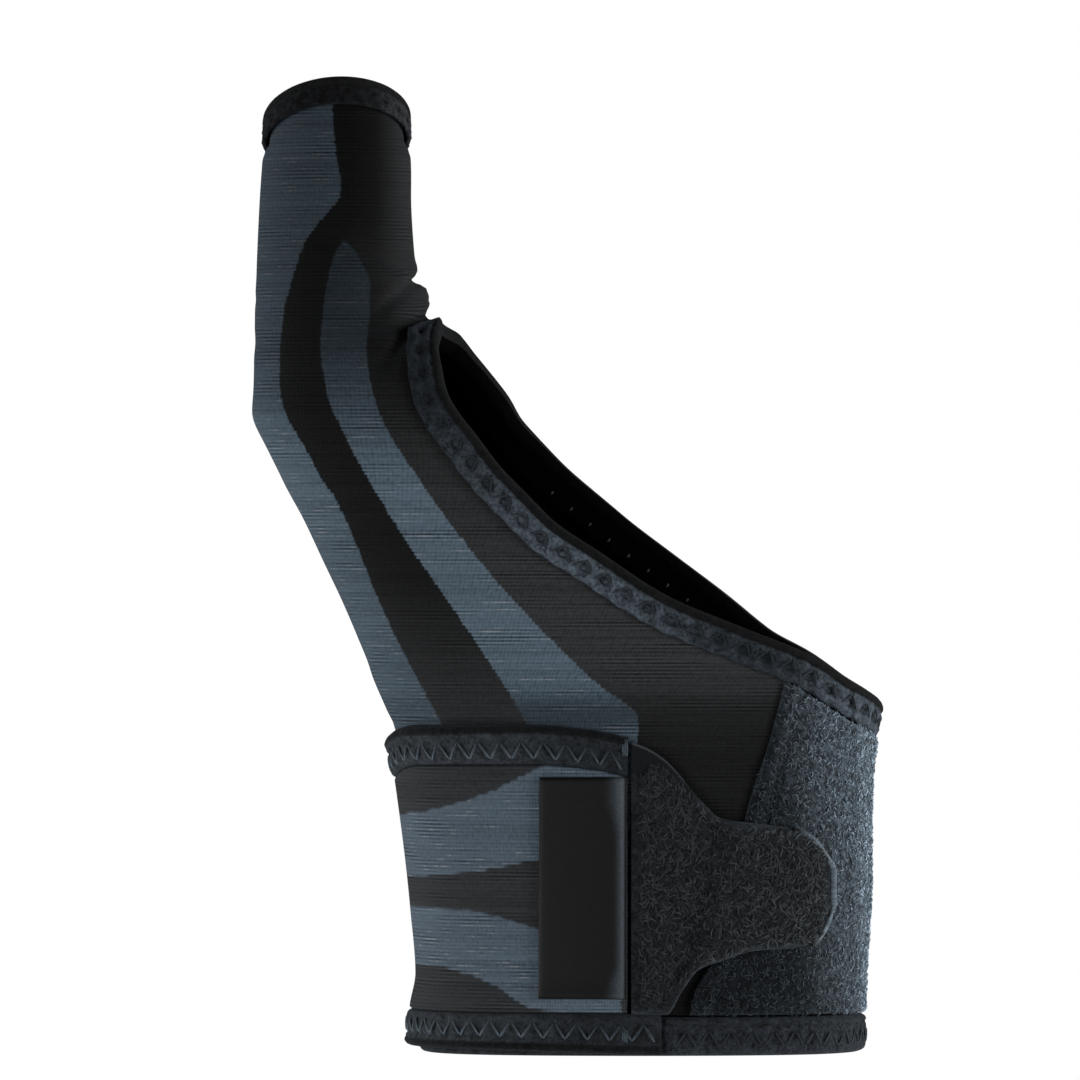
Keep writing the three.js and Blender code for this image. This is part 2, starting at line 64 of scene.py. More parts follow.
# share of the height, centre as share of the thumb's reach, mix of wrist and thumb, swell, rim in front and behind
sectionRows = [
    (0, -0.016, 0, 0.987, 1, 1),
    (0.087, -0.022, 0, 0.991, 1, 1),
    (0.153, -0.02, 0, 1.012, 1, 1),
    (0.289, 0.002, 0, 1.052, 1, 1),
    (0.35, 0.009, 0, 1.096, 1, 1),
    (0.364, 0.013, 0, 1.12, 1, 1),
    (0.397, 0.032, 0, 1.155, 0.915, 0.922),
    (0.418, 0.05, 0.01, 1.168, 0.866, 0.878),
    (0.445, 0.089, 0.04, 1.185, 0.766, 0.814),
    (0.482, 0.163, 0.1, 1.198, 0.652, 0.783),
    (0.525, 0.254, 0.18, 1.225, 0.585, 0.738),
    (0.568, 0.356, 0.27, 1.246, 0.53, 0.702),
    (0.611, 0.478, 0.38, 1.271, 0.526, 0.69),
    (0.654, 0.619, 0.51, 1.274, 0.558, 0.72),
    (0.676, 0.696, 0.59, 1.263, 0.585, 0.757),
    (0.697, 0.753, 0.67, 1.256, 0.609, 0.803),
    (0.74, 0.845, 0.81, 1.23, 0.703, 0.85),
    (0.761, 0.894, 0.88, 1.19, 0.786, 0.89),
    (0.776, 0.972, 0.945, 1.05, 1, 1),
    (0.802, 0.992, 0.98, 1.03, 1, 1),
    (0.816, 0.991, 0.99, 1.055, 1, 1),
    (0.847, 0.998, 1, 1.034, 1, 1),
    (0.906, 1.001, 1, 0.996, 1, 1),
    (0.955, 0.998, 1, 0.975, 1, 1),
    (0.972, 0.998, 1, 0.885, 1, 1),
    (1, 0.998, 1, 0.87, 1, 1),
]
# at, turn, depth, tall, wide, rise: folds where the tube meets the hand
gatherRows = [
    (0.83, 25, 0.055, 0.007, 65, 0.01),
    (0.817, 30, -0.02, 0.006, 50, 0.012),
    (0.68, 168, -0.02, 0.02, 40, 0),
]


def smooth(t):
    t = np.clip(t, 0, 1)
    return t * t * (3 - 2 * t)


# 1 at nothing, and falling off smoothly to both sides.
def bell(t):
    return np.exp(-(t**2))


def mix(a, b, t):
    return a + (b - a) * t


# A smooth curve through the rows of a table, which never overshoots them.
def curveThrough(rows, column=1):
    at = np.array([row[0] for row in rows], float)
    value = np.array([row[column] for row in rows], float)
    rise = np.diff(value) / np.diff(at)
    before, after = rise[:-1], rise[1:]
    turns = before * after <= 0
    slope = np.concatenate(([rise[0]], rise[1:] * 0, [rise[-1]]))
    slope[1:-1] = np.where(turns, 0, 2 * before * after / np.where(turns, 1, before + after))

    def curve(t):
        t = np.asarray(t, float)
        i = np.clip(np.searchsorted(at, t, side="right") - 1, 0, len(at) - 2)
        span = at[i + 1] - at[i]
        u = np.clip((t - at[i]) / span, 0, 1)
        bend = u * (1 - u) * ((1 - u) * slope[i] - u * slope[i + 1]) * span
        return mix(value[i], value[i + 1], smooth(u)) + bend

    return curve


centreCurve, mixCurve, swellCurve, frontCurve, backCurve = (
    curveThrough(sectionRows, column) for column in range(1, 6)
)


def sectionAt(height):
    share = height / form["height"]
    blend = mixCurve(share)
    width = swellCurve(share) * mix(form["wristWidth"], form["thumbWidth"], blend)
    depth = mix(form["wristDepth"], form["thumbDepth"], blend)
    return -centreCurve(share) * form["thumbReach"], width, depth, form["squareness"] * (1 - blend)


def leanAt(height):
    reach = form["leanBlend"] * form["height"]
    t = np.maximum(0, height - form["leanStart"] * form["height"]) / reach
    lean = math.tan(form["thumbLean"])
    eased = np.where(t < 1, t**3 - t**4 / 2, t - 0.5)
    return np.arctan(lean * smooth(t)), lean * reach * eased


def gatherAt(height, turn):
    total = 0
    for at, place, depth, tall, wide, rise in gatherRows:
        away = withinTurn(turn - math.radians(place))
        up = height / form["height"] - at - rise * away
        across = away / math.radians(wide)
        total = total - depth * form["thumbWidth"] * np.exp(-((up / tall) ** 2) - across**2)
    return total


def acrossShape(turn, square):
    return (np.cos(turn) - square * np.cos(3 * turn)) / (1 - square)


# A point of the sleeve's outer face. Turn 0 is the little-finger side, a quarter turn the back of the hand.
def facePoint(height, turn):
    height, turn = np.broadcast_arrays(np.asarray(height, float), np.asarray(turn, float))
    centre, width, depth, square = sectionAt(height)
    angle, shift = leanAt(height)
    fold = gatherAt(height, turn)
    across = (width / 2 + fold) * acrossShape(turn, square)
    deep = -(depth / 2 + fold) * (np.sin(turn) + square * np.sin(3 * turn)) / (1 - square)
    share = height / form["height"]
    tilt = angle * smooth((share - form["web"]) / form["tiltBlend"])  # level up to the web
    front, right = form["rimRise"]
    rise = smooth((share - 0.9) / 0.1) * (front * np.sin(turn) + right * np.cos(turn))
    return np.stack((centre + across, shift + deep * np.cos(tilt), height + rise - deep * np.sin(tilt)), -1)


# A turn brought between minus half a turn and half a turn.
def withinTurn(turn):
    return np.arctan2(np.sin(turn), np.cos(turn))


# How far along a line of points each of them is.
def lengthsAlong(points):
    return np.concatenate(([0], np.cumsum(np.linalg.norm(np.diff(points, axis=0), axis=1))))


def unit(vector):
    return vector / np.maximum(np.linalg.norm(vector, axis=-1, keepdims=True), 1e-12)


def faceFrame(height, turn, nudge=0.02):
    up = (facePoint(height + nudge, turn) - facePoint(height - nudge, turn)) / (2 * nudge)
    around = (facePoint(height, turn + nudge) - facePoint(height, turn - nudge)) / (2 * nudge)
    return up, around, unit(np.cross(up, around))


def lifted(height, turn, lift):
    return facePoint(height, turn) + faceFrame(height, turn)[2] * np.asarray(lift)[..., None]


def dot(a, b):
    return (a * b).sum(-1)


# Walks over the sleeve's face in a direction and returns the height and turn reached.
def walk(height, turn, direction, distance, legs=3):
    for _ in range(legs):
        up, around, normal = faceFrame(height, turn)
        flat = unit(direction - normal * dot(direction, normal)[..., None])
        uu, ur, rr = dot(up, up), dot(up, around), dot(around, around)
        du, dr = dot(flat, up), dot(flat, around)
        det = uu * rr - ur * ur
        height = height + (du * rr - dr * ur) / det * distance / legs
        turn = turn + (dr * uu - du * ur) / det * distance / legs
    return height, turn


# The turn, on the back of the hand, where a section crosses a sideways position.
def turnAcross(height, across):
    height, across = np.broadcast_arrays(np.asarray(height, float), np.asarray(across, float))
    centre, width, depth, square = sectionAt(height)
    low, high = np.zeros(height.shape), np.full(height.shape, pi)
    for _ in range(36):
        middle = (low + high) / 2
        right = centre + width / 2 * acrossShape(middle, square) > across
        low, high = np.where(right, middle, low), np.where(right, high, middle)
    return (low + high) / 2


def rimTurn(height, curve):
    centre, width, depth, square = sectionAt(height)
    share = curve(height / form["height"])
    return np.where(share > 0.9999, 0, turnAcross(height, centre + width * (share - 0.5)))


# Smooth random lumps over a plane, the same on each run.
def lumps(x, y, size, seed):
    table = np.random.default_rng(seed).random((128, 128)) * 2 - 1
    u, v = np.asarray(x) / size, np.asarray(y) / size
    i, j = np.floor(u).astype(int), np.floor(v).astype(int)
    fu, fv = smooth(u - i), smooth(v - j)
    low = mix(table[i % 128, j % 128], table[(i + 1) % 128, j % 128], fu)
    high = mix(table[i % 128, (j + 1) % 128], table[(i + 1) % 128, (j + 1) % 128], fu)
    return mix(low, high, fv)


def finishMesh(name, points, faces, values):
    mesh = bpy.data.meshes.new(name)
    mesh.from_pydata((np.asarray(points) * 0.001).tolist(), [], faces)
    for key, value in values.items():
        layer = mesh.attributes.new(key, "FLOAT", "POINT")
        layer.data.foreach_set("value", np.asarray(value, np.float32).ravel())
    mesh.polygons.foreach_set("use_smooth", np.ones(len(mesh.polygons), bool))
    piece = bpy.data.objects.new(name, mesh)
    bpy.context.scene.collection.objects.link(piece)
    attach(piece, "root")
    return piece


# The same four-sided faces, turned round if they look inwards.
def facedOut(points, faces):
    p = points[faces]
    volume = dot(p[:, 0], np.cross(p[:, 1], p[:, 2])).sum() + dot(p[:, 0], np.cross(p[:, 2], p[:, 3])).sum()
    return faces[:, ::-1] if volume < 0 else faces


# Joins two faces of points into one closed cloth. closed says which rows run right round.
def clothPiece(name, outer, inner, values=None, closed=None):
    rows, columns = outer.shape[:2]
    closed = np.zeros(rows, bool) if closed is None else closed
    keep = np.ones((rows, columns), bool)
    keep[closed, -1] = False
    count = keep.sum()
    index = np.zeros((rows, columns), int)
    index[keep] = np.arange(count)
    index[closed, -1] = index[closed, 0]
    points = np.concatenate((outer[keep], inner[keep]))
    a, b = index[:-1, :-1], index[:-1, 1:]
    c, d = index[1:, 1:], index[1:, :-1]
    top = np.stack((a, b, c, d), -1).reshape(-1, 4)
    faces = [top, top[:, ::-1] + count]
    for row, flip in ((0, True), (rows - 1, False)):
        edge = np.stack((index[row, :-1], index[row, 1:], index[row, 1:] + count, index[row, :-1] + count), -1)
        faces.append(edge[:, ::-1] if flip else edge)
    openAt = ~(closed[:-1] & closed[1:])
    for column, flip in ((0, False), (columns - 1, True)):
        low, high = index[:-1, column][openAt], index[1:, column][openAt]
        edge = np.stack((low, high, high + count, low + count), -1)
        faces.append(edge[:, ::-1] if flip else edge)
    faces = facedOut(points, np.concatenate(faces))
    both = {"inside": np.concatenate((np.zeros(count), np.ones(count)))}
    for key, value in (values or {}).items():
        flat = np.broadcast_to(value, (rows, columns))[keep]
        both[key] = np.concatenate((flat, flat))
    faces = [tuple(dict.fromkeys(face)) for face in faces.tolist()]
    return finishMesh(name, points, [face for face in faces if len(face) > 2], both)


# Sweeps a closed section round a closed loop of stations, as stations x section points.
def loopPiece(name, grid, values):
    count, size = grid.shape[:2]
    i, j = np.meshgrid(np.arange(count), np.arange(size), indexing="ij")
    a, b = i * size + j, i * size + (j + 1) % size
    c, d = (i + 1) % count * size + (j + 1) % size, (i + 1) % count * size + j
    points = grid.reshape(-1, 3)
    faces = facedOut(points, np.stack((a, b, c, d), -1).reshape(-1, 4))
    values = {key: np.broadcast_to(value, (count, size)) for key, value in values.items()}
    return finishMesh(name, points, faces.tolist(), values)


# Round threads with closed ends. paths and normals are threads x points x 3, tone is one number a thread or point.
def threadPiece(name, paths, normals, radius, sides=5, tone=None, taper=0.45):
    count, long = paths.shape[:2]
    tangent = unit(np.gradient(paths, axis=1))
    side = unit(np.cross(tangent, normals))
    above = np.cross(side, tangent)
    ring = np.arange(sides) * 2 * pi / sides
    across, up = np.cos(ring)[:, None], np.sin(ring)[:, None]
    thick = np.full(long, radius)
    thick[[0, -1]] *= taper
    circle = side[:, :, None] * across + above[:, :, None] * up
    points = (paths[:, :, None] + circle * thick[:, None, None]).reshape(-1, 3)
    thread, i, j = np.meshgrid(np.arange(count), np.arange(long - 1), np.arange(sides), indexing="ij")
    low, k = (thread * long + i) * sides, (j + 1) % sides
    faces = np.stack((low + j, low + sides + j, low + sides + k, low + k), -1).reshape(-1, 4).tolist()
    first = np.arange(count)[:, None] * long * sides + np.arange(sides)
    faces += first.tolist() + (first[:, ::-1] + (long - 1) * sides).tolist()
    tone = np.ones(count) if tone is None else tone
    tone = np.broadcast_to(tone if np.ndim(tone) == 2 else np.reshape(tone, (-1, 1)), (count, long))
    return finishMesh(name, points, faces, {"tone": np.repeat(tone.ravel(), sides)})


# Shares from 0 to 1 with lines crowded into the rounded ends of a cloth that is length long.
def spread(length, count, roundness, ends=4):
    corner = roundness * (1 - np.cos(np.linspace(0, pi / 2, ends + 1)))
    middle = np.linspace(roundness, length - roundness, count + 1)[1:-1]
    return np.concatenate((corner, middle, length - corner[::-1])) / length


def edgeRise(share, length, roundness):
    away = np.minimum(share, 1 - share) * length / roundness
    return np.sqrt(1 - (1 - np.clip(away, 0, 1)) ** 2)


# Places evenly along the hand opening's rim, up the front and down the back.
def openingRim(count):
    fine = mix(cornerHeight, webHeight, (1 - np.cos(pi * np.linspace(0, 1, 700))) / 2)
    height = np.concatenate((fine, fine[::-1][1:]))
    turn = np.concatenate((rimTurn(fine, frontCurve), -rimTurn(fine, backCurve)[::-1][1:]))
    points = facePoint(height, turn)
    along = lengthsAlong(points)
    at = np.arange(count) * along[-1] / count
    reach = np.arange(-12, 13)
    weight = bell(reach / 6)
    height, turn = (
        sum(w * np.roll(np.interp(at, along, values), r) for w, r in zip(weight / weight.sum(), reach))
        for values in (height, turn)
    )
    return height, turn, at, along[-1]


def rimFrames(height, turn):
    point = facePoint(height, turn)
    along = unit(np.roll(point, -1, 0) - np.roll(point, 1, 0))
    out = faceFrame(height, turn)[2]
    return point, out, unit(np.cross(out, along))


# The point reached from a rim by going into the cloth and lifting off it.
def rimPoint(height, turn, frames, inward, lift):
    point, out, into = frames
    beyond = point + into * np.minimum(inward, 0)[:, None] + out * lift[:, None]
    reached = walk(height, turn, into, np.maximum(inward, 0))
    return np.where((inward <= 0)[:, None], beyond, lifted(*reached, lift))


# A node material with its shader made ready. Values that are even all over go straight on the shader.
class Finish:
    def __init__(self, name, roughness, sheen=0.0, sheenTint=(1, 1, 1), specular=0.3):
        self.material = bpy.data.materials.new(name)
        self.material.use_nodes = True
        self.tree = self.material.node_tree
        self.shader = self.tree.nodes["Principled BSDF"]
        self.shader.inputs["Roughness"].default_value = roughness
        self.shader.inputs["Sheen Weight"].default_value = sheen
        self.shader.inputs["Sheen Roughness"].default_value = 0.45
        self.shader.inputs["Sheen Tint"].default_value = (*sheenTint, 1)
        self.shader.inputs["Specular IOR Level"].default_value = specular

    def put(self, value, socket):
        if isinstance(value, bpy.types.NodeSocket):
            self.tree.links.new(value, socket)
        elif isinstance(value, tuple) and len(value) == 3 and socket.type == "RGBA":
            socket.default_value = (*value, 1)
        else:
            socket.default_value = value

    def maths(self, operation, *values, clamp=False):
        node = self.tree.nodes.new("ShaderNodeMath")
        node.operation, node.use_clamp = operation, clamp
        for value, socket in zip(values, node.inputs):
            self.put(value, socket)
        return node.outputs[0]

    def times(self, a, b):
        return self.maths("MULTIPLY", a, b)

    def timesPlus(self, a, b, c):
        return self.maths("MULTIPLY_ADD", a, b, c)

    def less(self, a, b):
        return self.maths("SUBTRACT", a, b)

    def value(self, name):
        node = self.tree.nodes.new("ShaderNodeAttribute")
        node.attribute_name = name
        return node.outputs["Fac"]

    def place(self, x, y, z=0.0):
        node = self.tree.nodes.new("ShaderNodeCombineXYZ")
        for value, socket in zip((x, y, z), node.inputs):
            self.put(value, socket)
        return node.outputs[0]

    def millimetres(self):
        node = self.tree.nodes.new("ShaderNodeVectorMath")
        node.operation = "SCALE"
        node.inputs["Scale"].default_value = 1000
        self.tree.links.new(self.tree.nodes.new("ShaderNodeTexCoord").outputs["Object"], node.inputs[0])
        return node.outputs[0]

    def noise(self, place, size, detail=2.0, rough=0.5):
        node = self.tree.nodes.new("ShaderNodeTexNoise")
        self.put(place, node.inputs["Vector"])
        node.inputs["Scale"].default_value = 1 / size
        node.inputs["Detail"].default_value = detail
        node.inputs["Roughness"].default_value = rough
        return node.outputs["Fac"]

    # Noise over two values, each with its own scale.
    def stretched(self, x, xScale, y, yScale, size=1.0, detail=1.0, rough=0.5):
        return self.noise(self.place(self.times(x, xScale), self.times(y, yScale)), size, detail, rough)

    def between(self, value, low, high, start=0.0, end=1.0):
        node = self.tree.nodes.new("ShaderNodeMapRange")
        node.interpolation_type = "SMOOTHSTEP"
        for item, socket in zip((value, low, high, start, end), node.inputs):
            self.put(item, socket)
        return node.outputs[0]

    def wave(self, value, period, height=1.0):
        return self.times(self.maths("SINE", self.times(value, 2 * pi / period)), height)

    def blend(self, share, a, b, how="MIX"):
        node = self.tree.nodes.new("ShaderNodeMix")
        node.data_type, node.blend_type = "RGBA", how
        self.put(share, node.inputs["Factor"])
        self.put(a, node.inputs["A"])
        self.put(b, node.inputs["B"])
        return [item for item in node.outputs if item.type == "RGBA"][0]

    def shade(self, colour, factor):
        return self.blend(1.0, colour, self.place(factor, factor, factor), "MULTIPLY")

    def bump(self, height, distance, strength=1.0):
        node = self.tree.nodes.new("ShaderNodeBump")
        node.inputs["Strength"].default_value = strength
        node.inputs["Distance"].default_value = distance * 0.001
        self.put(height, node.inputs["Height"])
        self.tree.links.new(node.outputs[0], self.shader.inputs["Normal"])

    def colour(self, value):
        self.put(value, self.shader.inputs["Base Color"])


knitLook = {
    "slate": (0.056, 0.078, 0.099),
    "charcoal": (0.0175, 0.0182, 0.019),
    "course": 0.56,  # mm from one course to the next
    "wale": 0.42,
    "ragged": 0.3,  # how far the courses step unevenly at the edge of a stripe
}


def knitFinish(name, slate, charcoal):
    look = Finish(name, 0.85, 0.02, (0.7, 0.8, 0.9), 0.05)
    course, wale = look.value("course"), look.value("wale")
    share = look.maths("DIVIDE", course, knitLook["course"])
    row = look.maths("FLOOR", share)
    inRow = look.less(look.less(row, share), -0.5)
    uneven = look.less(look.stretched(wale, 0.12, row, 7.31), 0.5)
    edge = look.timesPlus(uneven, knitLook["ragged"] * 2, look.value("stripe"))
    slant = look.times(look.value("slant"), knitLook["course"] * 0.7)
    edge = look.timesPlus(inRow, slant, edge)
    stripe = look.between(edge, -0.16, 0.16)
    # each colour is multiplied by its own painted light and shade, laid out over the cloth by place
    slate = look.shade(slate, look.value("slateShade"))
    charcoal = look.shade(charcoal, look.value("charcoalShade"))
    colour = look.blend(stripe, charcoal, slate)
    line = look.wave(course, knitLook["course"], 0.5)
    rib = look.wave(wale, knitLook["wale"], 0.5)
    # a few courses together are stretched open, and show as thin bright and dark lines
    group = look.stretched(wale, 0.07, course, 0.42)
    group = look.between(group, 0.5, 0.66)
    long = look.stretched(wale, 0.2, row, 3.7, 1.0, 2.0)
    fleck = look.stretched(wale, 1.5, row, 5.3)
    rowTone = look.stretched(wale, 0.03, row, 9.17, 1.0, 0.0)
    grain = look.stretched(wale, 1.9, course, 0.9, 0.8, 3.0, 0.7)
    strength = look.timesPlus(group, 0.85, look.between(long, 0.4, 0.7, 0.12, 0.5))
    factor = look.timesPlus(line, strength, 1.0)
    factor = look.timesPlus(look.less(rowTone, 0.5), 0.55, factor)
    factor = look.timesPlus(rib, 0.16, factor)
    factor = look.timesPlus(look.less(grain, 0.5), 1.15, factor)
    bright = look.times(look.between(long, 0.55, 0.7), look.between(fleck, 0.3, 0.6))
    bright = look.times(bright, look.between(line, 0.1, 0.42))
    colour = look.shade(colour, look.maths("MAXIMUM", factor, 0.12))
    bright = look.times(bright, look.times(stripe, 0.6))
    colour = look.blend(bright, colour, look.shade((0.2, 0.2, 0.21), look.value("slateShade")))
    look.colour(colour)
    height = look.timesPlus(line, look.timesPlus(group, 0.5, 0.3), grain)
    look.bump(look.timesPlus(rib, 0.25, height), 0.12)
    return look.material


def liningFinish():
    look = Finish("blackLining", 1.0, 0.0, (1, 1, 1), 0.0)
    weave = look.noise(look.millimetres(), 0.5, 2.0)
    look.colour(look.shade((0.0012, 0.0012, 0.0013), look.between(weave, 0.3, 0.7, 0.7, 1.3)))
    look.bump(weave, 0.1)
    return look.material


lining = liningFinish()


# Fuzzy binding: mottled nap over a close weave, darker where the attribute dark is 1.
def bindingFinish(name, plain, dark, grainSize=0.35, fuzz=0.5, sheen=0.04):
    look = Finish(name, 0.95, sheen, (0.6, 0.75, 0.9), 0.06)
    place = look.millimetres()
    grain = look.noise(place, grainSize, 4.0, 0.7)
    patch = look.noise(place, 1.3, 3.0, 0.6)
    factor = look.timesPlus(look.less(grain, 0.5), 4.2 * fuzz, 1.0)
    factor = look.timesPlus(look.less(patch, 0.5), 3.0 * fuzz, factor)
    colour = look.blend(look.value("dark"), look.shade(plain, look.value("paintedLight")), dark)
    look.colour(look.shade(colour, look.maths("MAXIMUM", factor, 0.12)))
    look.bump(grain, 0.3 * fuzz + 0.1)
    return look.material


# Brushed pile: clumps and single bright hairs over a dark ground.
def pileFinish(name, dark, light, clump, sheen):
    look = Finish(name, 1.0, sheen, (0.6, 0.72, 0.85), 0.05)
    place = look.millimetres()
    fine = look.noise(place, 0.32, 3.0, 0.75)
    coarse = look.noise(place, clump, 3.0, 0.6)
    share = look.timesPlus(look.less(coarse, 0.5), 0.9, fine)
    colour = look.blend(look.between(share, 0.36, 0.68), dark, light)
    look.colour(look.blend(look.value("bare"), look.shade(colour, look.value("paintedLight")), dark))
    look.bump(look.maths("ADD", fine, coarse), 0.45)
    return look.material


def threadFinish(name, colour, sheen=0.05):
    look = Finish(name, 0.8, sheen, (0.65, 0.78, 0.9), 0.15)
    twist = look.noise(look.millimetres(), 0.22, 2.0)
    tone = look.times(look.between(twist, 0.3, 0.7, 0.6, 1.35), look.value("tone"))
    look.colour(look.shade(colour, tone))
    look.bump(twist, 0.06)
    return look.material


# Gives a piece its material, a second one to the faces whose attribute inside is 1, and a third to those at 2.
def wear(piece, material, *others):
    mesh = piece.data
    mesh.materials.clear()
    for item in (material, *others):
        mesh.materials.append(item)
    if others:
        inside = np.zeros(len(mesh.vertices), np.float32)
        mesh.attributes["inside"].data.foreach_get("value", inside)
        least = [int(min(inside[v] for v in face.vertices)) for face in mesh.polygons]
        mesh.polygons.foreach_set("material_index", least)


sleeveMesh = {"below": 56, "beside": 92, "fold": 22, "tube": 28, "columns": 176, "start": 6.2}
# height, edge of the outer stripe, left and right edge of the inner stripe, sideways from the wrist centre line
stripeRows = [
    (0, -14, -6, -2),
    (36, -22, -9.5, -1),
    (51.2, -30, -17, 0.4),
    (56.9, -33.1, -20.4, -6.2),
    (69.2, -39.2, -28.6, -18.5),
    (77.7, -42.6, -34.6, -25.7),
    (84.6, -45.8, -38.9, -30.9),
    (88.6, -48.4, -41.3, -33.6),
    (92.8, -50.6, -43.6, -36.5),
    (96.2, -52.7, -45.2, -38.4),
    (99.3, -54, -46.7, -39.6),
    (103, -54.5, -47.5, -40.6),
    (108, -54.4, -48.2, -41.1),
    (114, -53.8, -47.8, -40.7),
    (118, -52.8, -47.2, -40.7),
    (121, -51.9, -46.6, -41.9),
    (123.2, -51.1, -45.7, -43.2),
    (124.4, -50.6, -44.8, -44.4),
    (127.4, -48.5, -44.5, -44.7),
    (129.5, -46.6, -44.5, -44.7),
    (131.3, -45.4, -44.5, -44.7),
    (133.5, -45.2, -44.5, -44.7),
    (138.2, -46, -44.5, -44.7),
    (145.1, -46.6, -44.5, -44.7),
]
outerEdge, innerLeft, innerRight = (curveThrough(stripeRows, column) for column in (1, 2, 3))


# height, then painted light and shade on the outer stripe, the inner one, the charcoal between them and beside the
# opening
paintedLightRows = [
    (0, 0.7, 0.95, 0.8, 0.3),
    (46, 0.7, 0.95, 0.8, 0.33),
    # painted shadow under the strap's top edge
    (52, 0.55, 0.36, 0.85, 0.5),
    (57, 0.68, 0.85, 0.78, 1.0),
    (66, 0.68, 0.95, 0.46, 1.15),
    (75, 0.68, 0.9, 0.26, 1.05),
    (85, 0.8, 0.92, 0.25, 0.85),
    (90, 0.8, 0.88, 0.24, 0.8),
    (95, 0.74, 0.6, 0.22, 0.6),
    (100, 0.54, 0.43, 0.2, 0.34),
    (108, 0.39, 0.25, 0.2, 0.25),
    (115, 0.43, 0.19, 0.18, 0.25),
    (120, 0.38, 0.16, 0.16, 0.24),
    (130, 0.36, 0.16, 0.13, 0.08),
    (143, 0.35, 0.16, 0.09, 0.05),
]
outerPaintedLight, innerPaintedLight, leftPaintedLight, rightPaintedLight = (curveThrough(paintedLightRows, column) for column in (1, 2, 3, 4))
# folds of the cloth above the web, as lines on the back of the hand: ends x and z, height and width across
creases = [
    {"ends": (-39.5, 115.8, -34.4, 119.8), "rise": 0.25, "wide": 1.1},
    {"ends": (-39.5, 113.6, -35.0, 117.4), "rise": -0.6, "wide": 0.9},
    {"ends": (-38.5, 112.2, -34.0, 114.8), "rise": 0.4, "wide": 1.8},
    {"ends": (-39.0, 104.8, -33.0, 112.2), "rise": -1.0, "wide": 0.9},
]


def creaseLift(points, turn):
    total = 0
    x, z = points[..., 0], points[..., 2]
    away = np.abs(withinTurn(turn - 0.6))
    for fold in creases:
        x0, z0, x1, z1 = fold["ends"]
        long = math.hypot(x1 - x0, z1 - z0)
        along = ((x - x0) * (x1 - x0) + (z - z0) * (z1 - z0)) / long
        across = ((x - x0) * (z1 - z0) - (z - z0) * (x1 - x0)) / long
        ends = smooth(along / 3 + 0.5) * smooth((long - along) / 2.5 + 1.5)
        total = total + fold["rise"] * ends * bell(across / fold["wide"])
    return total * smooth((2.1 - away) / 0.7)


# How far inside a slate stripe a place is, and less than 0 outside.
def stripeDepth(x, z):
    inner = np.minimum(np.minimum(x - innerLeft(z), innerRight(z) - x), (124.4 - z) * 0.6)
    return np.maximum(outerEdge(z) - x, inner)


# How fast that depth grows with height.
def slantOf(depth, x, z):
    return np.clip((depth(x, z + 0.1) - depth(x, z - 0.1)) / 0.2, -2, 2)


webPoint = facePoint(webHeight, 0.0)
# a knot of cloth over the web, its height over it in mm
knot = {"above": 2.7, "rise": 1.3, "wide": 3.6}
knotPoint = facePoint(webHeight + knot["above"], 0.0)


# The cloth stands out in a knot above the end of the opening between thumb and hand, its hem less so.
def webLift(points, centre=webPoint, rise=0.6, wide=3.0):
    return rise * bell(np.linalg.norm(points - centre, axis=-1) / wide)


def makeSleeve():
    corner, web, top = cornerHeight, webHeight, form["height"]
    below = np.linspace(sleeveMesh["start"], corner, sleeveMesh["below"] + 1)
    share = np.linspace(0, 1, sleeveMesh["beside"] + 1) ** 1.15
    beside = mix(corner, web, (1 - np.cos(pi * share)) / 2)
    fold = np.linspace(web, 0.86 * top, sleeveMesh["fold"] + 1)
    tube = np.linspace(0.86 * top, top, sleeveMesh["tube"] + 1)
    height = np.concatenate((below, beside[1:], fold[1:], tube[1:]))[:, None]
    closed = ((height <= corner + 1e-6) | (height >= web - 1e-6))[:, 0]
    start = np.where(closed, 0, rimTurn(height[:, 0], frontCurve))[:, None]
    end = 2 * pi - np.where(closed, 0, rimTurn(height[:, 0], backCurve))[:, None]
    turn = start + (end - start) * np.linspace(0, 1, sleeveMesh["columns"] + 1)[None]
    height = np.broadcast_to(height, turn.shape)
    plain = facePoint(height, turn)
    lift = creaseLift(plain, turn) + webLift(plain, knotPoint, knot["rise"], knot["wide"])
    outer, inner = lifted(height, turn, lift), lifted(height, turn, lift - form["wall"])
    x, z = plain[..., 0], plain[..., 2]
    right = smooth((x - (innerLeft(z) + innerRight(z)) / 2) / 3 + 0.5)
    between = (outerEdge(z) + innerLeft(z)) / 2
    charcoal = mix(leftPaintedLight(z), rightPaintedLight(z), right)
    # painted rim light on the right side of the thumb tube
    charcoal = mix(charcoal, 0.55, smooth((x + 40.5) / 5.5) * smooth((z - 104) / 8))
    values = {
        "course": z,
        "wale": np.abs(turn - pi) * mix(33, 13, smooth((height - 40) / 70)),
        "stripe": stripeDepth(x, z),
        "slant": slantOf(stripeDepth, x, z),
        "slateShade": mix(outerPaintedLight(z), innerPaintedLight(z), smooth((x - between) / 2 + 0.5)),
        "charcoalShade": charcoal,
    }
    piece = clothPiece("knitSleeve", outer, inner, values, closed)
    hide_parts("sleeve")
    return piece


sleeve = makeSleeve()
wear(sleeve, knitFinish("sleeveKnit", knitLook["slate"], knitLook["charcoal"]), lining)
print("sleeve done")

openingHem = {
    "width": 4.2,
    "turnIn": 4,
    "webShare": 0.25,  # it narrows to this share between thumb and hand
    "webSpread": 9,
    "pitch": 3.8,  # from one needle hole to the next
    "pucker": 0.22,
    "holeRow": 2.2,  # from the edge to the row of needle holes
    "holeDepth": 0.8,
    "holeSize": 0.7,
    "piping": 0.5,
    "stations": 900,
}
thumbHem = {
    "width": 3.5,
    "turnIn": 3,
    "pitch": 3.2,
    "pucker": 0.05,
    "holeRow": 2.2,
    "holeDepth": 0.12,
    "holeSize": 0.5,
    "piping": 0.5,
    "stations": 300,
}
binding = {"gap": 0.45, "thickness": 0.8, "roll": 0.85}


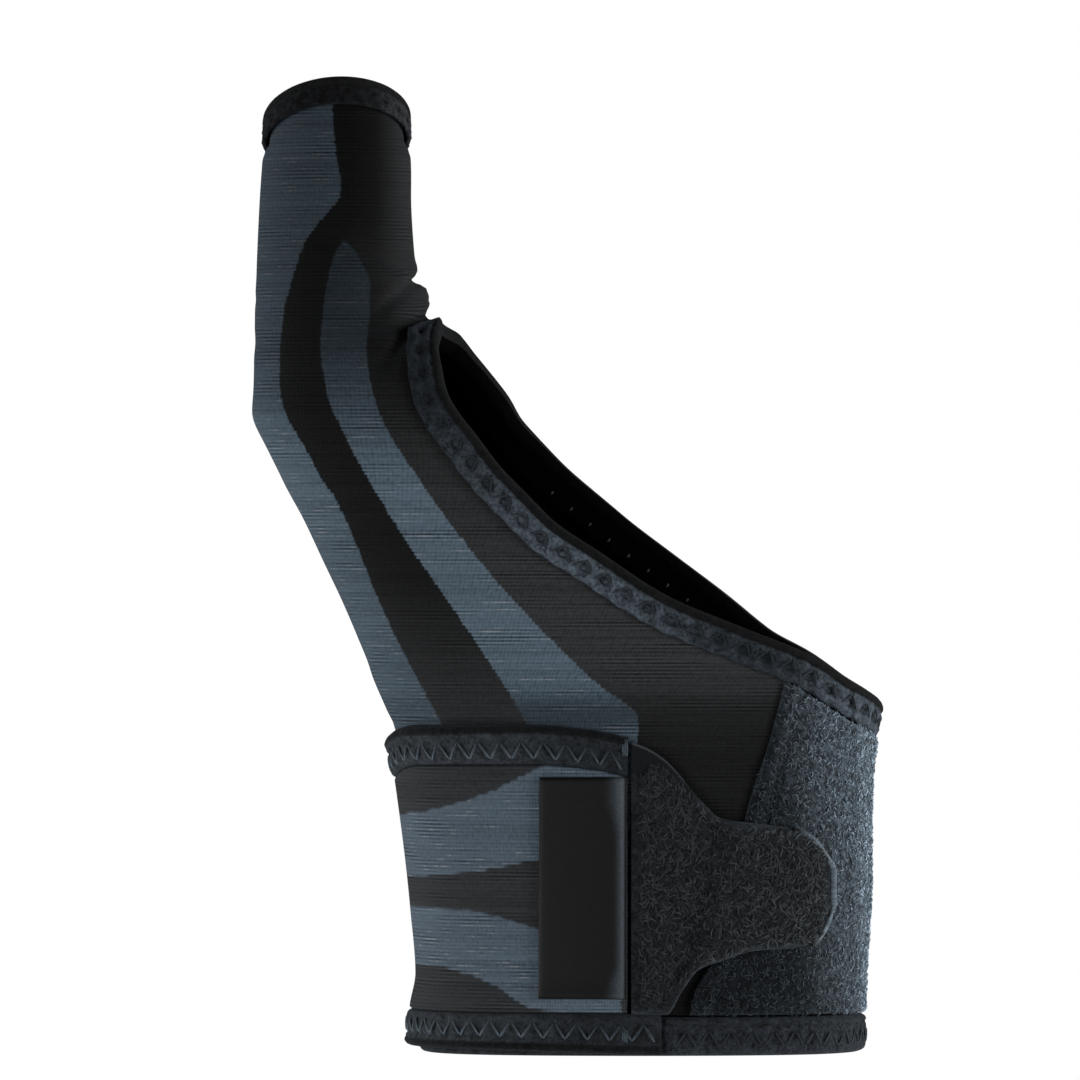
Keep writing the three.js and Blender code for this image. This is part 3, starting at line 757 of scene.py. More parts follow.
# Section of a folded binding, as distance into the cloth and lift off its outer face.
def bindingSection(width, turnIn):
    near = binding["gap"]
    outside = near + binding["thickness"]
    inside = -form["wall"] - near
    away = width * (1 - np.linspace(0, 1, 25) ** 1.15)
    rise = 0.4 + 0.6 * np.sqrt(1 - (1 - np.clip((width - away) / 0.7, 0, 1)) ** 2)
    outerLeg = [(a, near + binding["thickness"] * r) for a, r in zip(away, rise)]
    middle, reach = (outside + inside - binding["thickness"]) / 2, (outside - inside + binding["thickness"]) / 2
    roll = -near - binding["roll"]
    turns = np.linspace(0, pi, 15)[1:-1]
    rolled = [(roll * math.sin(t) ** 0.8, middle + reach * math.cos(t)) for t in turns]
    innerLeg = [(a, inside - binding["thickness"]) for a in np.linspace(0, turnIn, 7)]
    back = [(turnIn, inside), (-near, inside), (-near, near), (width * 0.5, near), (width, near)]
    return np.array(outerLeg + rolled + innerLeg + back)


def hemPiece(name, height, turn, along, sizes, share, raised, paintedLight):
    section = bindingSection(sizes["width"], sizes["turnIn"])
    frames = rimFrames(height, turn)
    grid, dark, inner = [], [], []
    beat = np.cos(2 * pi * along / sizes["pitch"])
    toHole = np.abs((along / sizes["pitch"] + 0.5) % 1 - 0.5) * sizes["pitch"]
    for inward, lift in section:
        keep = share if lift > 0 else share**2
        outside = 0 < inward and lift > binding["gap"] + 0.3
        into = inward * keep if inward > 0 else np.full_like(along, inward)
        hole = 0 * along
        if outside:
            hole = np.exp(-((toHole / sizes["holeSize"]) ** 2) - ((inward - sizes["holeRow"]) / 0.55) ** 2)
            channel = math.exp(-(((inward - sizes["holeRow"]) / 0.6) ** 2))
            puff = math.sin(pi * min(1, inward / sizes["width"]))
            piping = math.exp(-(((inward - sizes["piping"]) / 0.28) ** 2))
            row = along * 0 + inward
            fuzz = 0.12 * lumps(along, row, 0.75, 3) + 0.08 * lumps(along, row, 0.4, 4)
            wave = sizes["pucker"] * (puff * beat + 1.4 * channel)
            lift = lift - share * (wave + sizes["holeDepth"] * hole + 0.3 * piping) + fuzz
        into = into + (0.14 * beat if outside and inward > sizes["width"] * 0.97 else 0)
        grid.append(rimPoint(height, turn, frames, into, lift + raised + 0 * along))
        isInner = np.max(lift) < -form["wall"] / 2
        # the piping is dark cloth; the needle holes also get painted shade over their dip
        dark.append(np.clip(smooth((sizes["piping"] + 0.2 - inward) / 0.4) + hole * 1.3 * share, 0, 1))
        inner.append(1.0 if isInner else 2.0 if inward <= sizes["piping"] else 0.0)
    values = {"dark": np.stack(dark, 1), "inside": np.array(inner)[None], "paintedLight": paintedLight[:, None]}
    return loopPiece(name, np.stack(grid, 1), values)


rimHeight, rimTurns, rimAlong, rimLength = openingRim(openingHem["stations"])
# The share of its width that the opening's hem keeps, about a sixth of it at the web itself.
def webShareAt(points):
    away = np.linalg.norm(points - webPoint, axis=-1)
    wide = 1 - (1 - openingHem["webShare"]) * bell(away / openingHem["webSpread"])
    return wide * mix(0.7, 1, smooth(away / 4))


# sideways place, then the painted light on the hem there; its back gets a painted shade of 0.45
hemPaintedLightRows = [(-40, 0.12), (-34, 0.16), (-30, 0.3), (-26, 0.6), (-18, 1.1), (-10, 1.5)]
hemPaintedLightRows += [(-2, 1.45), (6, 1.0), (15, 0.55), (22, 0.5), (30, 1.0), (40, 1.15)]
hemPaintedLight = curveThrough(hemPaintedLightRows)
rimPoints = facePoint(rimHeight, rimTurns)
openingHem["pitch"] = rimLength / round(rimLength / openingHem["pitch"])
handHem = hemPiece(
    "handOpeningHem",
    rimHeight,
    rimTurns,
    rimAlong,
    openingHem,
    webShareAt(rimPoints),
    webLift(rimPoints),
    np.where(rimTurns >= 0, hemPaintedLight(rimPoints[:, 0]), 0.45),
)
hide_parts("hand_opening_hem")
rollFinish = bindingFinish("rolledEdge", (0.0045, 0.0047, 0.005), (0.0045, 0.0047, 0.005), 0.4, 0.5, 0.01)
hemFinish = bindingFinish("hemBinding", (0.029, 0.036, 0.044), (0.004, 0.0041, 0.0043), 0.5, 0.8)
wear(handHem, hemFinish, lining, rollFinish)

ringTurn = np.arange(thumbHem["stations"]) * 2 * pi / thumbHem["stations"]
ringHeight = np.full_like(ringTurn, form["height"])
ringPoints = facePoint(ringHeight, ringTurn)
ringAlong = lengthsAlong(ringPoints)
ringLength = ringAlong[-1] + np.linalg.norm(ringPoints[0] - ringPoints[-1])
thumbHem["pitch"] = ringLength / round(ringLength / thumbHem["pitch"])
even = ringAlong * 0
# painted rim light along the thumb hem's right side
thumbRimLight = 1 + 4 * smooth((ringPoints[:, 0] + 42) / 6)
tubeHem = hemPiece("thumbHem", ringHeight, ringTurn, ringAlong, thumbHem, even + 1, even, thumbRimLight)
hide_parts("thumb_hem")
thumbFinish = bindingFinish("thumbBinding", (0.0033, 0.0035, 0.0039), (0.0035, 0.0037, 0.004), 0.6, 1.0, 0.02)
wear(tubeHem, thumbFinish, lining, rollFinish)


# The cuff's hem is thicker where the strap leaves it free.
def makeCuffHem():
    rows = spread(5.9, 10, 0.8) * 5.9
    height, turn = np.meshgrid(rows, np.linspace(0, 2 * pi, 361), indexing="ij")
    x = facePoint(height, turn)[..., 0]
    free = smooth((x - 4.4) / 0.9) * smooth((withinTurn(turn) + 1.34) / 0.08)
    rounded = edgeRise(height / 5.9, 5.9, 0.9)
    beat = np.cos(2 * pi * turn * 34 / 3.4)
    puff = np.sin(pi * height / 5.9) * (0.16 * beat + 0.1 * lumps(turn * 34, height, 0.8, 8))
    line = bell((height - 4.6) / 0.25)
    rise = 0.9 * rounded - 0.1 + free * (0.75 * rounded - puff - 0.25 * line)
    tuck = -form["wall"] + 0.35 * (1 - rounded)
    values = {"dark": smooth((height - 4.5) / 0.3) * smooth((4.9 - height) / 0.3) * 0.8, "paintedLight": 0 * turn + 1}
    closed = np.ones(len(rows), bool)
    outer, inner = lifted(height, turn, rise), lifted(height, turn, tuck)
    piece = clothPiece("cuffHem", outer, inner, values, closed)
    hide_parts("cuff_hem")
    wear(piece, bindingFinish("cuffBinding", (0.0125, 0.0145, 0.017), (0.006, 0.0062, 0.0065), 0.5, 0.9), lining)


strapHemFinish = bindingFinish("strapBinding", (0.0155, 0.018, 0.0205), (0.0042, 0.0044, 0.0046), 0.45, 0.7)
makeCuffHem()
print("hems done")

strap = {
    "height": 50.4,
    "thickness": 1.3,
    "hemHeight": 5.8,
    "hemThickness": 1.6,
    "cuffHem": 5.9,
    "cuffProud": 0.9,
    "seam": -1.2,
    "end": math.radians(282),
    "footReach": 5,
    "knitFoot": 6.5,
    "slit": 0.05,  # between the knit and its hems
}
strapTopRows = [(0, 0.042), (0.05, 0.014), (0.12, 0), (0.33, 0.002), (0.5, 0.044), (0.7, 0.06), (1, 0.06)]
strapDrop = curveThrough(strapTopRows)
# sideways place, then top and bottom of the upper and of the lower slate band
bandRows = [
    (-36, 36.5, 27.0, 22.2, 13.5),
    (-30.8, 37.4, 27.3, 22.2, 13.4),
    (-26, 38.8, 27.8, 22.1, 12.5),
    (-21.2, 40.6, 28.6, 21.2, 10.5),
    (-16.9, 42.9, 29.5, 20, 7.7),
    (-14.3, 44, 30.1, 19.2, 7),
    (-8.5, 44.6, 30.5, 18.5, 6.6),
]
bandCurves = [curveThrough(bandRows, column) for column in (1, 2, 3, 4)]


def bandDepth(x, z):
    upTop, upLow, lowTop, lowLow = (curve(x) for curve in bandCurves)
    bands = np.maximum(np.minimum(upTop - z, z - upLow), np.minimum(lowTop - z, z - lowLow))
    return bands


def strapUnder(height):
    return gap + strap["cuffProud"] * (1 - smooth((height - strap["cuffHem"] - gap) / strap["cuffHem"]))


def strapTop(turn):
    return strap["height"] * (1 - strapDrop(np.clip((turn - pi / 2) / pi, 0, 1)))


def strapBottom(turn):
    return 0.9 * smooth((turn - 1.2) / 1.2)


def panelTop(turn):
    return strapTop(turn) - strap["hemHeight"] - gap


# A length of the strap between two edges. profile gives the lift of its outer face from shares along and up.
def strapLength(name, start, bottom, top, rows, columns, thickness, slot, profile=None, roundness=0.5):
    tall = float(np.mean(top(np.array([2.0, 4.0])) - bottom(np.array([2.0, 4.0]))))
    long = 118.0
    v = spread(tall, rows, roundness)[:, None]
    u = spread(long, columns, roundness)[None]
    middle = np.full(1, pi / 2)
    startTurn = turnAcross(mix(bottom(middle), top(middle), v), start)
    turn = mix(startTurn, strap["end"], u)
    height = mix(bottom(turn), top(turn), v)
    rise = edgeRise(v, tall, roundness) * edgeRise(u, long, roundness)
    lift = strapUnder(height)
    extra = thickness * (0.45 + 0.55 * rise)
    if name == "strapBottomHem":
        extra = extra * mix(0.45, 1, smooth(u * long / 5))  # it starts thin, level with the cuff's hem
    wale = u * long + v * 0
    if profile:
        extra = extra + profile(wale, v * tall) * rise
    outer, inner = lifted(height, turn, lift + extra), lifted(height, turn, lift)
    x, z = outer[..., 0], outer[..., 2]
    values = {"course": z, "wale": wale, "dark": 0 * wale, "paintedLight": strapPaintedLight(x)}
    if slot == "knit":
        # painted shade in the groove along the seam in front, drawn as charcoal, and the bands run out to points on
        # the palm side
        band = bandDepth(x, z)
        stripe = np.where(outer[..., 1] < 0, np.minimum(band, -2.3 - x), band - 9 * smooth((x + 9) / 13))
        values |= {"stripe": stripe, "slant": slantOf(bandDepth, x, z)}
        values |= {"slateShade": 0 * x + 1, "charcoalShade": 0 * x + 1}
    if slot == "hem_binding":
        edge = v * tall if name == "strapBottomHem" else (1 - v) * tall
        values["dark"] = smooth((1.5 - edge) / 0.4) + 0 * wale
    return clothPiece(name, outer, inner, values)


# The strap's binding gets painted light, brighter towards the thumb side.
def strapPaintedLight(x):
    return mix(1.3, 0.72, smooth((x + 24) / 18))


def constant(value):
    return lambda turn: np.zeros_like(np.asarray(turn, float)) + value


hemBeat = {"pitch": 3.4, "pucker": 0.2}


# Puffs between the needle holes, and a raised cord along the free edge.
def hemProfile(cordAt):
    def profile(along, up):
        beat = np.cos(2 * pi * along / hemBeat["pitch"])
        across = np.sin(pi * np.clip(up / strap["hemHeight"], 0, 1))
        cord = 0.28 * bell((up - cordAt) / 0.75)
        groove = -0.3 * bell((up - cordAt - math.copysign(1.35, 2.9 - cordAt)) / 0.3)
        low = -0.3 * np.exp(-((np.abs(up - cordAt) - 5.2) ** 2) / 0.5)  # it melts into the knit
        puffs = -hemBeat["pucker"] * across * beat * (cord < 0.1)
        return puffs + cord + groove + low + 0.07 * lumps(along, up, 0.9, 5) + 0.05 * lumps(along, up, 0.45, 6)

    return profile


knitFoot = constant(strap["knitFoot"])
knitBand = strapLength(
    "strapKnit", strap["seam"], knitFoot, panelTop, 70, 200, strap["thickness"], "knit", roundness=0.4
)
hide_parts("wrist_strap")
wear(knitBand, knitFinish("strapKnit", (0.051, 0.068, 0.0855), (0.0184, 0.0198, 0.0215)))
topHem = strapLength(
    "strapTopHem",
    strap["seam"],
    lambda turn: panelTop(turn) + strap["slit"],
    strapTop,
    16,
    420,
    strap["hemThickness"],
    "hem_binding",
    hemProfile(5.05),
    0.6,
)
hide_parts("strap_top_hem")
wear(topHem, strapHemFinish)
bottomHem = strapLength(
    "strapBottomHem",
    strap["seam"] + strap["footReach"],
    strapBottom,
    constant(strap["knitFoot"] - strap["slit"]),
    16,
    420,
    strap["hemThickness"],
    "hem_binding",
    hemProfile(0.75),
    0.6,
)
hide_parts("strap_bottom_hem")
wear(bottomHem, strapHemFinish)
print("strap done")

loopPanel = {"thickness": 1.2, "bottom": 6.2, "backTurn": math.radians(-60), "rows": 96, "columns": 120}
loopFrontRows = [(0.04, 0.24), (0.07, 0.27), (0.1, 0.345), (0.15, 0.4), (0.27, 0.515), (0.33, 0.6), (0.4, 0.68)]
loopFront = curveThrough(loopFrontRows)


def loopFrontX(height):
    return loopFront(height / form["height"]) * form["wristWidth"] / 2


def makeLoopPanel():
    frames = rimFrames(rimHeight, rimTurns)
    edgeHeight, edgeTurn = walk(rimHeight, rimTurns, frames[2], openingHem["width"] + gap)
    near = (np.abs(edgeTurn) < 1.45) & (edgeHeight < form["height"] / 2)
    order = np.argsort(edgeTurn[near])
    edgeAt, edgeUp = edgeTurn[near][order], edgeHeight[near][order]
    tall, long = 48.0, 50.0
    v = spread(tall, loopPanel["rows"], 0.7)[:, None]
    u = spread(long, loopPanel["columns"], 0.7)[None]
    height = mix(loopPanel["bottom"], cornerHeight, v) + 0 * u
    for _ in range(12):
        turn = mix(turnAcross(height, loopFrontX(height)), loopPanel["backTurn"], u)
        height = mix(loopPanel["bottom"], np.interp(turn, edgeAt, edgeUp), v)
    rise = edgeRise(v, tall, 0.7) * edgeRise(u, long, 0.7)
    tufts = 0.1 * lumps(u * long, v * tall, 0.8, 21) + 0.07 * lumps(u * long, v * tall, 0.45, 22)
    edge = np.minimum(u, 1 - u) * long
    border = 0.3 * bell((edge - 1.0) / 0.55) - 0.25 * bell((edge - 2.2) / 0.35)
    extra = loopPanel["thickness"] * (0.4 + 0.6 * rise) - 0.12 + tufts + border * rise
    outer, inner = lifted(height, turn, gap + extra), lifted(height, turn, gap + 0 * extra)
    paintedLight = loopPaintedLight(outer[..., 0], outer[..., 2])
    piece = clothPiece("loopPanel", outer, inner, {"bare": 0 * height, "paintedLight": paintedLight})
    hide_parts("loop_panel")
    wear(piece, pileFinish("loopGround", (0.009, 0.0105, 0.012), (0.04, 0.052, 0.063), 1.1, 0.1), lining)
    return piece, height, turn, gap + extra + 0.04, paintedLight


# The pile gets painted light: brighter towards the little-finger side and the top, with a painted rim light along
# the little-finger edge.
def loopPaintedLight(x, z):
    dim = mix(0.2, 0.33, smooth((z - 14) / 16))
    return mix(dim, 1.7, smooth((x - 22 + 0.12 * (z - 25)) / 13)) + 0.9 * smooth((x - 33.6) / 1.2)


panel, *loopSpots = makeLoopPanel()


# Short bent fibres lying at random over a grid of places, given as heights, turns and lifts.
def pileLoops(name, height, turn, lift, count, size, arch, radius, slot, finish, seed, paintedLight, bare=None):
    dice = np.random.default_rng(seed)
    # even over the cloth: a grid cell is picked in proportion to its size
    face = lifted(height, turn, lift)
    cell = np.linalg.norm(np.cross(face[1:, :-1] - face[:-1, :-1], face[:-1, 1:] - face[:-1, :-1]), axis=-1)
    chance = cell / cell.sum()
    pick = dice.choice(cell.size, count, p=chance.ravel())
    i, j = np.unravel_index(pick, cell.shape)
    fi, fj = dice.random(count), dice.random(count)

    def at(grid):
        low = mix(grid[i, j], grid[i, j + 1], fj)
        return mix(low, mix(grid[i + 1, j], grid[i + 1, j + 1], fj), fi)

    spots = [at(grid) for grid in (height, turn, lift, paintedLight)]
    if bare is not None:
        keep = at(bare) < 0.5
        spots = [spot[keep] for spot in spots]
    spotHeight, spotTurn, spotLift, spotPaintedLight = spots
    up, around, normal = faceFrame(spotHeight, spotTurn)
    centre = facePoint(spotHeight, spotTurn) + normal * spotLift[:, None]
    angle = dice.random(len(centre)) * 2 * pi
    along = unit(up) * np.cos(angle)[:, None] + unit(np.cross(normal, up)) * np.sin(angle)[:, None]
    side = np.cross(normal, along)
    t = np.linspace(0, 1, 4)[None, :, None]
    half = (size * (0.6 + 0.8 * dice.random(len(centre))))[:, None, None]
    bow = (dice.random(len(centre)) - 0.5)[:, None, None] * half
    tall = (arch * (0.5 + dice.random(len(centre))))[:, None, None]
    path = centre[:, None] + along[:, None] * (t * 2 - 1) * half + side[:, None] * np.sin(pi * t) * bow
    path = path + normal[:, None] * (np.sin(pi * t) * tall - 0.05)
    # each fibre's random tone times the painted light where it lies
    tone = (0.25 + 1.5 * dice.random(len(centre)) ** 1.6) * spotPaintedLight
    piece = threadPiece(name, path, normal[:, None] + 0 * path, radius, 3, tone, 0.7)
    wear(piece, finish)
    return piece


loopFibre = threadFinish("loopFibre", (0.075, 0.097, 0.118), 0.1)
panelHeight, panelTurn, panelLift, panelPaintedLight = loopSpots
pileLoops(
    "loopPile", panelHeight, panelTurn, panelLift, 8200, 0.36, 0.22, 0.075, "loop_pile", loopFibre, 41, panelPaintedLight
)

tab = {"reach": 29.6, "thickness": 1.6, "rampStart": 4.5, "rampLength": 3.5, "rows": 110, "columns": 96}
# the rolled edge, with the sideways places where it starts on top and ends at the foot
rolledEdge = {"radius": 0.52, "lift": 0.16, "topFrom": 22.5, "footFrom": 25, "points": 150}
# at share of the reach, top and bottom as shares of the strap's height
tabRows = [
    (0, 0.95, 0.125),
    (0.084, 0.93, 0.125),
    (0.179, 0.893, 0.125),
    (0.264, 0.838, 0.2),
    (0.348, 0.78, 0.262),
    (0.474, 0.716, 0.29),
    (0.632, 0.702, 0.318),
    (0.8, 0.688, 0.324),
    (0.9, 0.656, 0.338),
    (0.96, 0.614, 0.388),
    (1, 0.565, 0.46),
]
tabTop, tabBottom = curveThrough(tabRows, 1), curveThrough(tabRows, 2)


def tabUnder(height, across):
    ramp = smooth((across - loopFrontX(height) + tab["rampStart"]) / tab["rampLength"])
    return strapUnder(height) + (loopPanel["thickness"] + gap) * ramp


def makeTab():
    u = spread(tab["reach"], tab["columns"], 0.8)[None]
    v = spread(34.0, tab["rows"], 0.8)[:, None]
    across = strap["seam"] + gap + 0.2 + u * (tab["reach"] - gap - 0.2) + 0 * v
    height = strap["height"] * mix(tabBottom(u), tabTop(u), v)
    turn = turnAcross(height, across)
    tall = strap["height"] * (tabTop(u) - tabBottom(u))
    rise = edgeRise(v, tall, 0.8) * edgeRise(np.maximum(u, 0.5), tab["reach"], 0.8)
    tufts = 0.1 * lumps(across, height, 0.7, 31) + 0.08 * lumps(across, height, 0.4, 32)
    border = 0.18 * bell((np.minimum(v, 1 - v) * tall - 0.9) / 0.5)
    # the strap's binding runs on over the tab's upper corner, and the pile starts below it
    fromTop = (1 - v) * tall
    bareWide = mix(4.8, 1.4, smooth((across - 0.5) / 3)) * (1 - smooth((across - 7) / 4))
    bare = smooth((bareWide - fromTop) / 0.5 + 0.5) * (across < 10.5)
    extra = tab["thickness"] * (0.4 + 0.6 * rise) - 0.15 + (tufts + border * rise) * (1 - bare) - 0.25 * bare
    under = tabUnder(height, across)
    outer, inner = lifted(height, turn, under + extra), lifted(height, turn, under)
    # painted rim light at the tongue's tip and along its edges
    tip = bell((strap["seam"] + tab["reach"] - across) / 1.1)
    paintedLight = 0.75 + 0 * v + 0.9 * tip + 0.55 * bell(np.minimum(v, 1 - v) * tall / 1.3)
    piece = clothPiece("hookTab", outer, inner, {"bare": bare, "paintedLight": paintedLight})
    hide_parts("hook_tab")
    wear(piece, pileFinish("tabGround", (0.006, 0.0065, 0.007), (0.018, 0.021, 0.024), 0.9, 0.08), lining)
    fibre = threadFinish("tabFibre", (0.021, 0.0245, 0.0265), 0.04)
    inset = (slice(6, -6), slice(6, -6))
    spots = [grid[inset] for grid in (height, turn, under + extra)]
    pileLoops("tabPile", *spots, 3000, 0.6, 0.14, 0.145, "tab_pile", fibre, 43, paintedLight[inset], bare[inset])
    makeTabPiping(height, turn, under + extra)
    makeTabEdge(height, turn, under + extra, across)
    return piece


# A thin cord along the upper corner, where the strap's binding runs on.
def makeTabPiping(height, turn, face):
    outs = faceFrame(height, turn)[2][-3, :30]
    path = lifted(height, turn, face)[-3, :30] + outs * 0.05
    cord = threadPiece("tabPiping", path[None], outs[None], 0.17, 8, np.linspace(1.2, 0.6, 30)[None])
    wear(cord, threadFinish("pipingCord", (0.022, 0.026, 0.03)))


# The rolled edge round the tongue's end, along its top, end and foot, drawn pale as a painted rim highlight.
def makeTabEdge(height, turn, face, across):
    top = np.flatnonzero(across[-1] > rolledEdge["topFrom"])
    foot = np.flatnonzero(across[0] > rolledEdge["footFrom"])[::-1]
    row = np.concatenate((np.full(len(top), -3), np.arange(tab["rows"], 1, -4), np.full(len(foot), 2)))
    column = np.concatenate((top.clip(0, tab["columns"] - 2), np.full(len(row) - len(top) - len(foot), -3), foot))
    lift = (face + rolledEdge["lift"])[row, column]
    at, atTurn = height[row, column], turn[row, column]
    path, outs = lifted(at, atTurn, lift), faceFrame(at, atTurn)[2]
    far = lengthsAlong(path)
    even = np.linspace(0, far[-1], rolledEdge["points"])
    path, outs = (np.stack([np.interp(even, far, line[:, k]) for k in range(3)], 1) for line in (path, outs))
    soft = np.exp(-(np.arange(-8, 9) / 3.5) ** 2)
    for k in range(3):
        path[8:-8, k] = np.convolve(path[:, k], soft / soft.sum(), "valid")
    fuzz = 0.6 + 0.8 * np.random.default_rng(44).random(rolledEdge["points"])
    fuzz = fuzz * smooth(even / 5) * smooth((even[-1] - even) / 3)
    edge = threadPiece("tabEdge", path[None], outs[None], rolledEdge["radius"], 10, fuzz[None], 0.3)
    wear(edge, threadFinish("tabEdge", (0.058, 0.075, 0.09), 0.1))


hookTab = makeTab()
print("panel and tab done")

label = {
    "width": 12.9,
    "height": 0.669 * strap["height"],
    "centre": 0.508 * strap["height"],
    "thickness": 1.0,
    "round": 0.7,
    "shoulder": 2.6,
}


def makeLabel():
    u = spread(label["width"], 26, label["round"], 6)[None]
    v = spread(label["height"], 60, label["round"], 6)[:, None]
    across = strap["seam"] - gap - u * label["width"] + 0 * v
    height = label["centre"] + (v - 0.5) * label["height"] + 0 * u
    shoulder = np.sqrt(1 - (1 - np.clip(u * label["width"] / label["shoulder"], 0, 1)) ** 2)
    rise = edgeRise(np.maximum(u, 0.5), label["width"], label["round"])
    rise = rise * edgeRise(v, label["height"], label["round"])
    extra = label["thickness"] * (0.15 + 0.85 * rise * shoulder)
    under = strapUnder(height) + strap["thickness"] + gap
    turn = turnAcross(height, across)
    # painted highlight on the rounded side by the seam, wider near the top and bottom
    wide = mix(2.0, 3.6, smooth((v - 0.72) / 0.2) + smooth((0.16 - v) / 0.12))
    paintedHighlight = smooth((wide - u * label["width"]) / wide) ** 1.3 * smooth((u * label["width"] - 0.1) / 0.4)
    outer, inner = lifted(height, turn, under + extra), lifted(height, turn, under)
    piece = clothPiece("labelPatch", outer, inner, {"paintedHighlight": paintedHighlight})
    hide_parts("label_patch")
    look = Finish("labelRubber", 0.55, 0.0, (1, 1, 1), 0.1)
    grain = look.noise(look.millimetres(), 0.25, 3.0, 0.6)
    colour = look.blend(look.value("paintedHighlight"), (0.0034, 0.0035, 0.0037), (0.036, 0.046, 0.055))
    look.colour(look.shade(colour, look.between(grain, 0.3, 0.7, 0.75, 1.25)))
    look.bump(grain, 0.02)
    wear(piece, look.material)


makeLabel()
print("label done")

stitches = {"radius": 0.2, "arch": 0.16, "points": 7, "clearOfWeb": 27, "innerTop": 91}


# A zigzag over a hem: legs run between two rows and dive at each needle hole.
def zigzag(name, surface, length, pitch, low, high, finish, skip=0.0, radius=stitches["radius"], tips=1.3):
    count = int(round((length - 2 * skip) / (pitch / 2)))
    t = np.linspace(0, 1, stitches["points"])
    paths, normals, tones = [], [], []
    for leg in range(count):
        a, b = skip + leg * pitch / 2, skip + (leg + 1) * pitch / 2
        start, end = (low, high) if leg % 2 == 0 else (high, low)
        along, across = mix(a, b, t), mix(start, end, t)
        point, out = surface(along, across)
        lift = stitches["arch"] * np.sin(pi * t) ** 0.7 - 0.16 * (np.abs(t - 0.5) > 0.45)
        paths.append(point + out * lift[:, None])
        normals.append(out)
        pale = tips * ((high - across) / (high - low)) ** 3  # the lower tips are drawn paler
        paintedLight = strapPaintedLight(point[:, 0]) if tips > 0.5 else np.minimum(hemPaintedLight(point[:, 0]), 1)
        tones.append((0.55 + pale) * paintedLight)
    paths, normals, tones = np.array(paths), np.array(normals), np.array(tones)
    keep = np.linalg.norm(paths.mean(1) - webPoint, axis=1) > stitches["clearOfWeb"]
    paths, normals, tones = paths[keep], normals[keep], tones[keep]
    piece = threadPiece(name, paths, normals, radius, 6, tones)
    wear(piece, finish)
    return piece


def openingSurface(along, across):
    along = np.mod(along, rimLength)
    loop = np.append(rimAlong, rimLength)
    height = np.interp(along, loop, np.append(rimHeight, rimHeight[0]))
    turn = np.interp(along, loop, np.append(rimTurns, rimTurns[0]))
    ahead = np.interp(np.mod(along + 0.5, rimLength), loop, np.append(rimHeight, rimHeight[0]))
    aheadTurn = np.interp(np.mod(along + 0.5, rimLength), loop, np.append(rimTurns, rimTurns[0]))
    point, out = facePoint(height, turn), faceFrame(height, turn)[2]
    into = unit(np.cross(out, unit(facePoint(ahead, aheadTurn) - point)))
    share = webShareAt(point)
    reached = walk(height, turn, into, across * share)
    lift = binding["gap"] + binding["thickness"] - 0.1 + webLift(point)
    return lifted(*reached, lift + 0 * along), faceFrame(*reached)[2]


# The surface of a hem that runs round the wrist, from one turn to another. rise gives its lift at a height.
def ringSurface(up, start, end, rise):
    turns = np.linspace(start, end, 400)

    def surface(along, across):
        middle = up(turns) + 0 * turns
        turn = np.interp(along, lengthsAlong(lifted(middle, turns, rise(middle))), turns)
        height = up(turn) + across
        return lifted(height, turn, rise(height)), faceFrame(height, turn)[2]

    return surface, float(np.linalg.norm(np.diff(lifted(up(turns), turns, rise(up(turns))), axis=0), axis=1).sum())


def strapRise(height):
    return strapUnder(height) + strap["hemThickness"] - 0.02


slateThread = threadFinish("slateThread", (0.033, 0.043, 0.053))
hemThread = threadFinish("hemThread", (0.026, 0.032, 0.039), 0.03)
seamTurn = float(turnAcross(48.0, strap["seam"] - 0.4))
zigzag("openingStitch", openingSurface, rimLength, openingHem["pitch"], 1.0, 3.4, hemThread, 0, 0.12, 0.1)
topSurface, topLength = ringSurface(lambda turn: strapTop(turn) - 3.7, seamTurn, strap["end"], strapRise)
zigzag("strapTopStitch", topSurface, topLength, hemBeat["pitch"], -1.5, 1.2, slateThread, 0.8)
lowStart = float(turnAcross(3.0, strap["seam"] + strap["footReach"] - 0.3))
lowSurface, lowLength = ringSurface(lambda turn: strapBottom(turn) + 3.4, lowStart, strap["end"], strapRise)
zigzag("strapBottomStitch", lowSurface, lowLength, hemBeat["pitch"], -1.3, 1.2, slateThread, 0.8)
cuffStart = float(turnAcross(3.0, strap["seam"] + strap["footReach"] + 1.6))
cuffRow, cuffRise = constant(2.6), constant(1.58)
cuffSurface, cuffLength = ringSurface(cuffRow, cuffStart, -1.28, cuffRise)
zigzag("cuffStitch", cuffSurface, cuffLength, hemBeat["pitch"], -1.3, 1.2, hemThread, 0.5, 0.13, 0.2)


# A row of short threads side by side: a bar tack, or the stitches that show inside the opening.
def shortThreads(name, starts, ends, outs, radius, finish):
    t = np.linspace(0, 1, 4)[None, :, None]
    paths = starts[:, None] + (ends - starts)[:, None] * t + outs[:, None] * (0.14 * np.sin(pi * t))
    piece = threadPiece(name, paths, outs[:, None] + 0 * paths, radius, 6)
    wear(piece, finish)


def makeBarTacks():
    x = np.tile(strap["seam"] - 0.75 + 0.3 * np.arange(3), 2)
    low = np.repeat([45.6, 2.0], 3)
    high = np.repeat([48.2, 4.4], 3)
    turns = turnAcross(low, x)
    rise = strapRise(low)
    starts, ends = lifted(low, turns, rise), lifted(high, turnAcross(high, x), rise)
    shortThreads("barTacks", starts, ends, faceFrame(low, turns)[2], 0.16, slateThread)


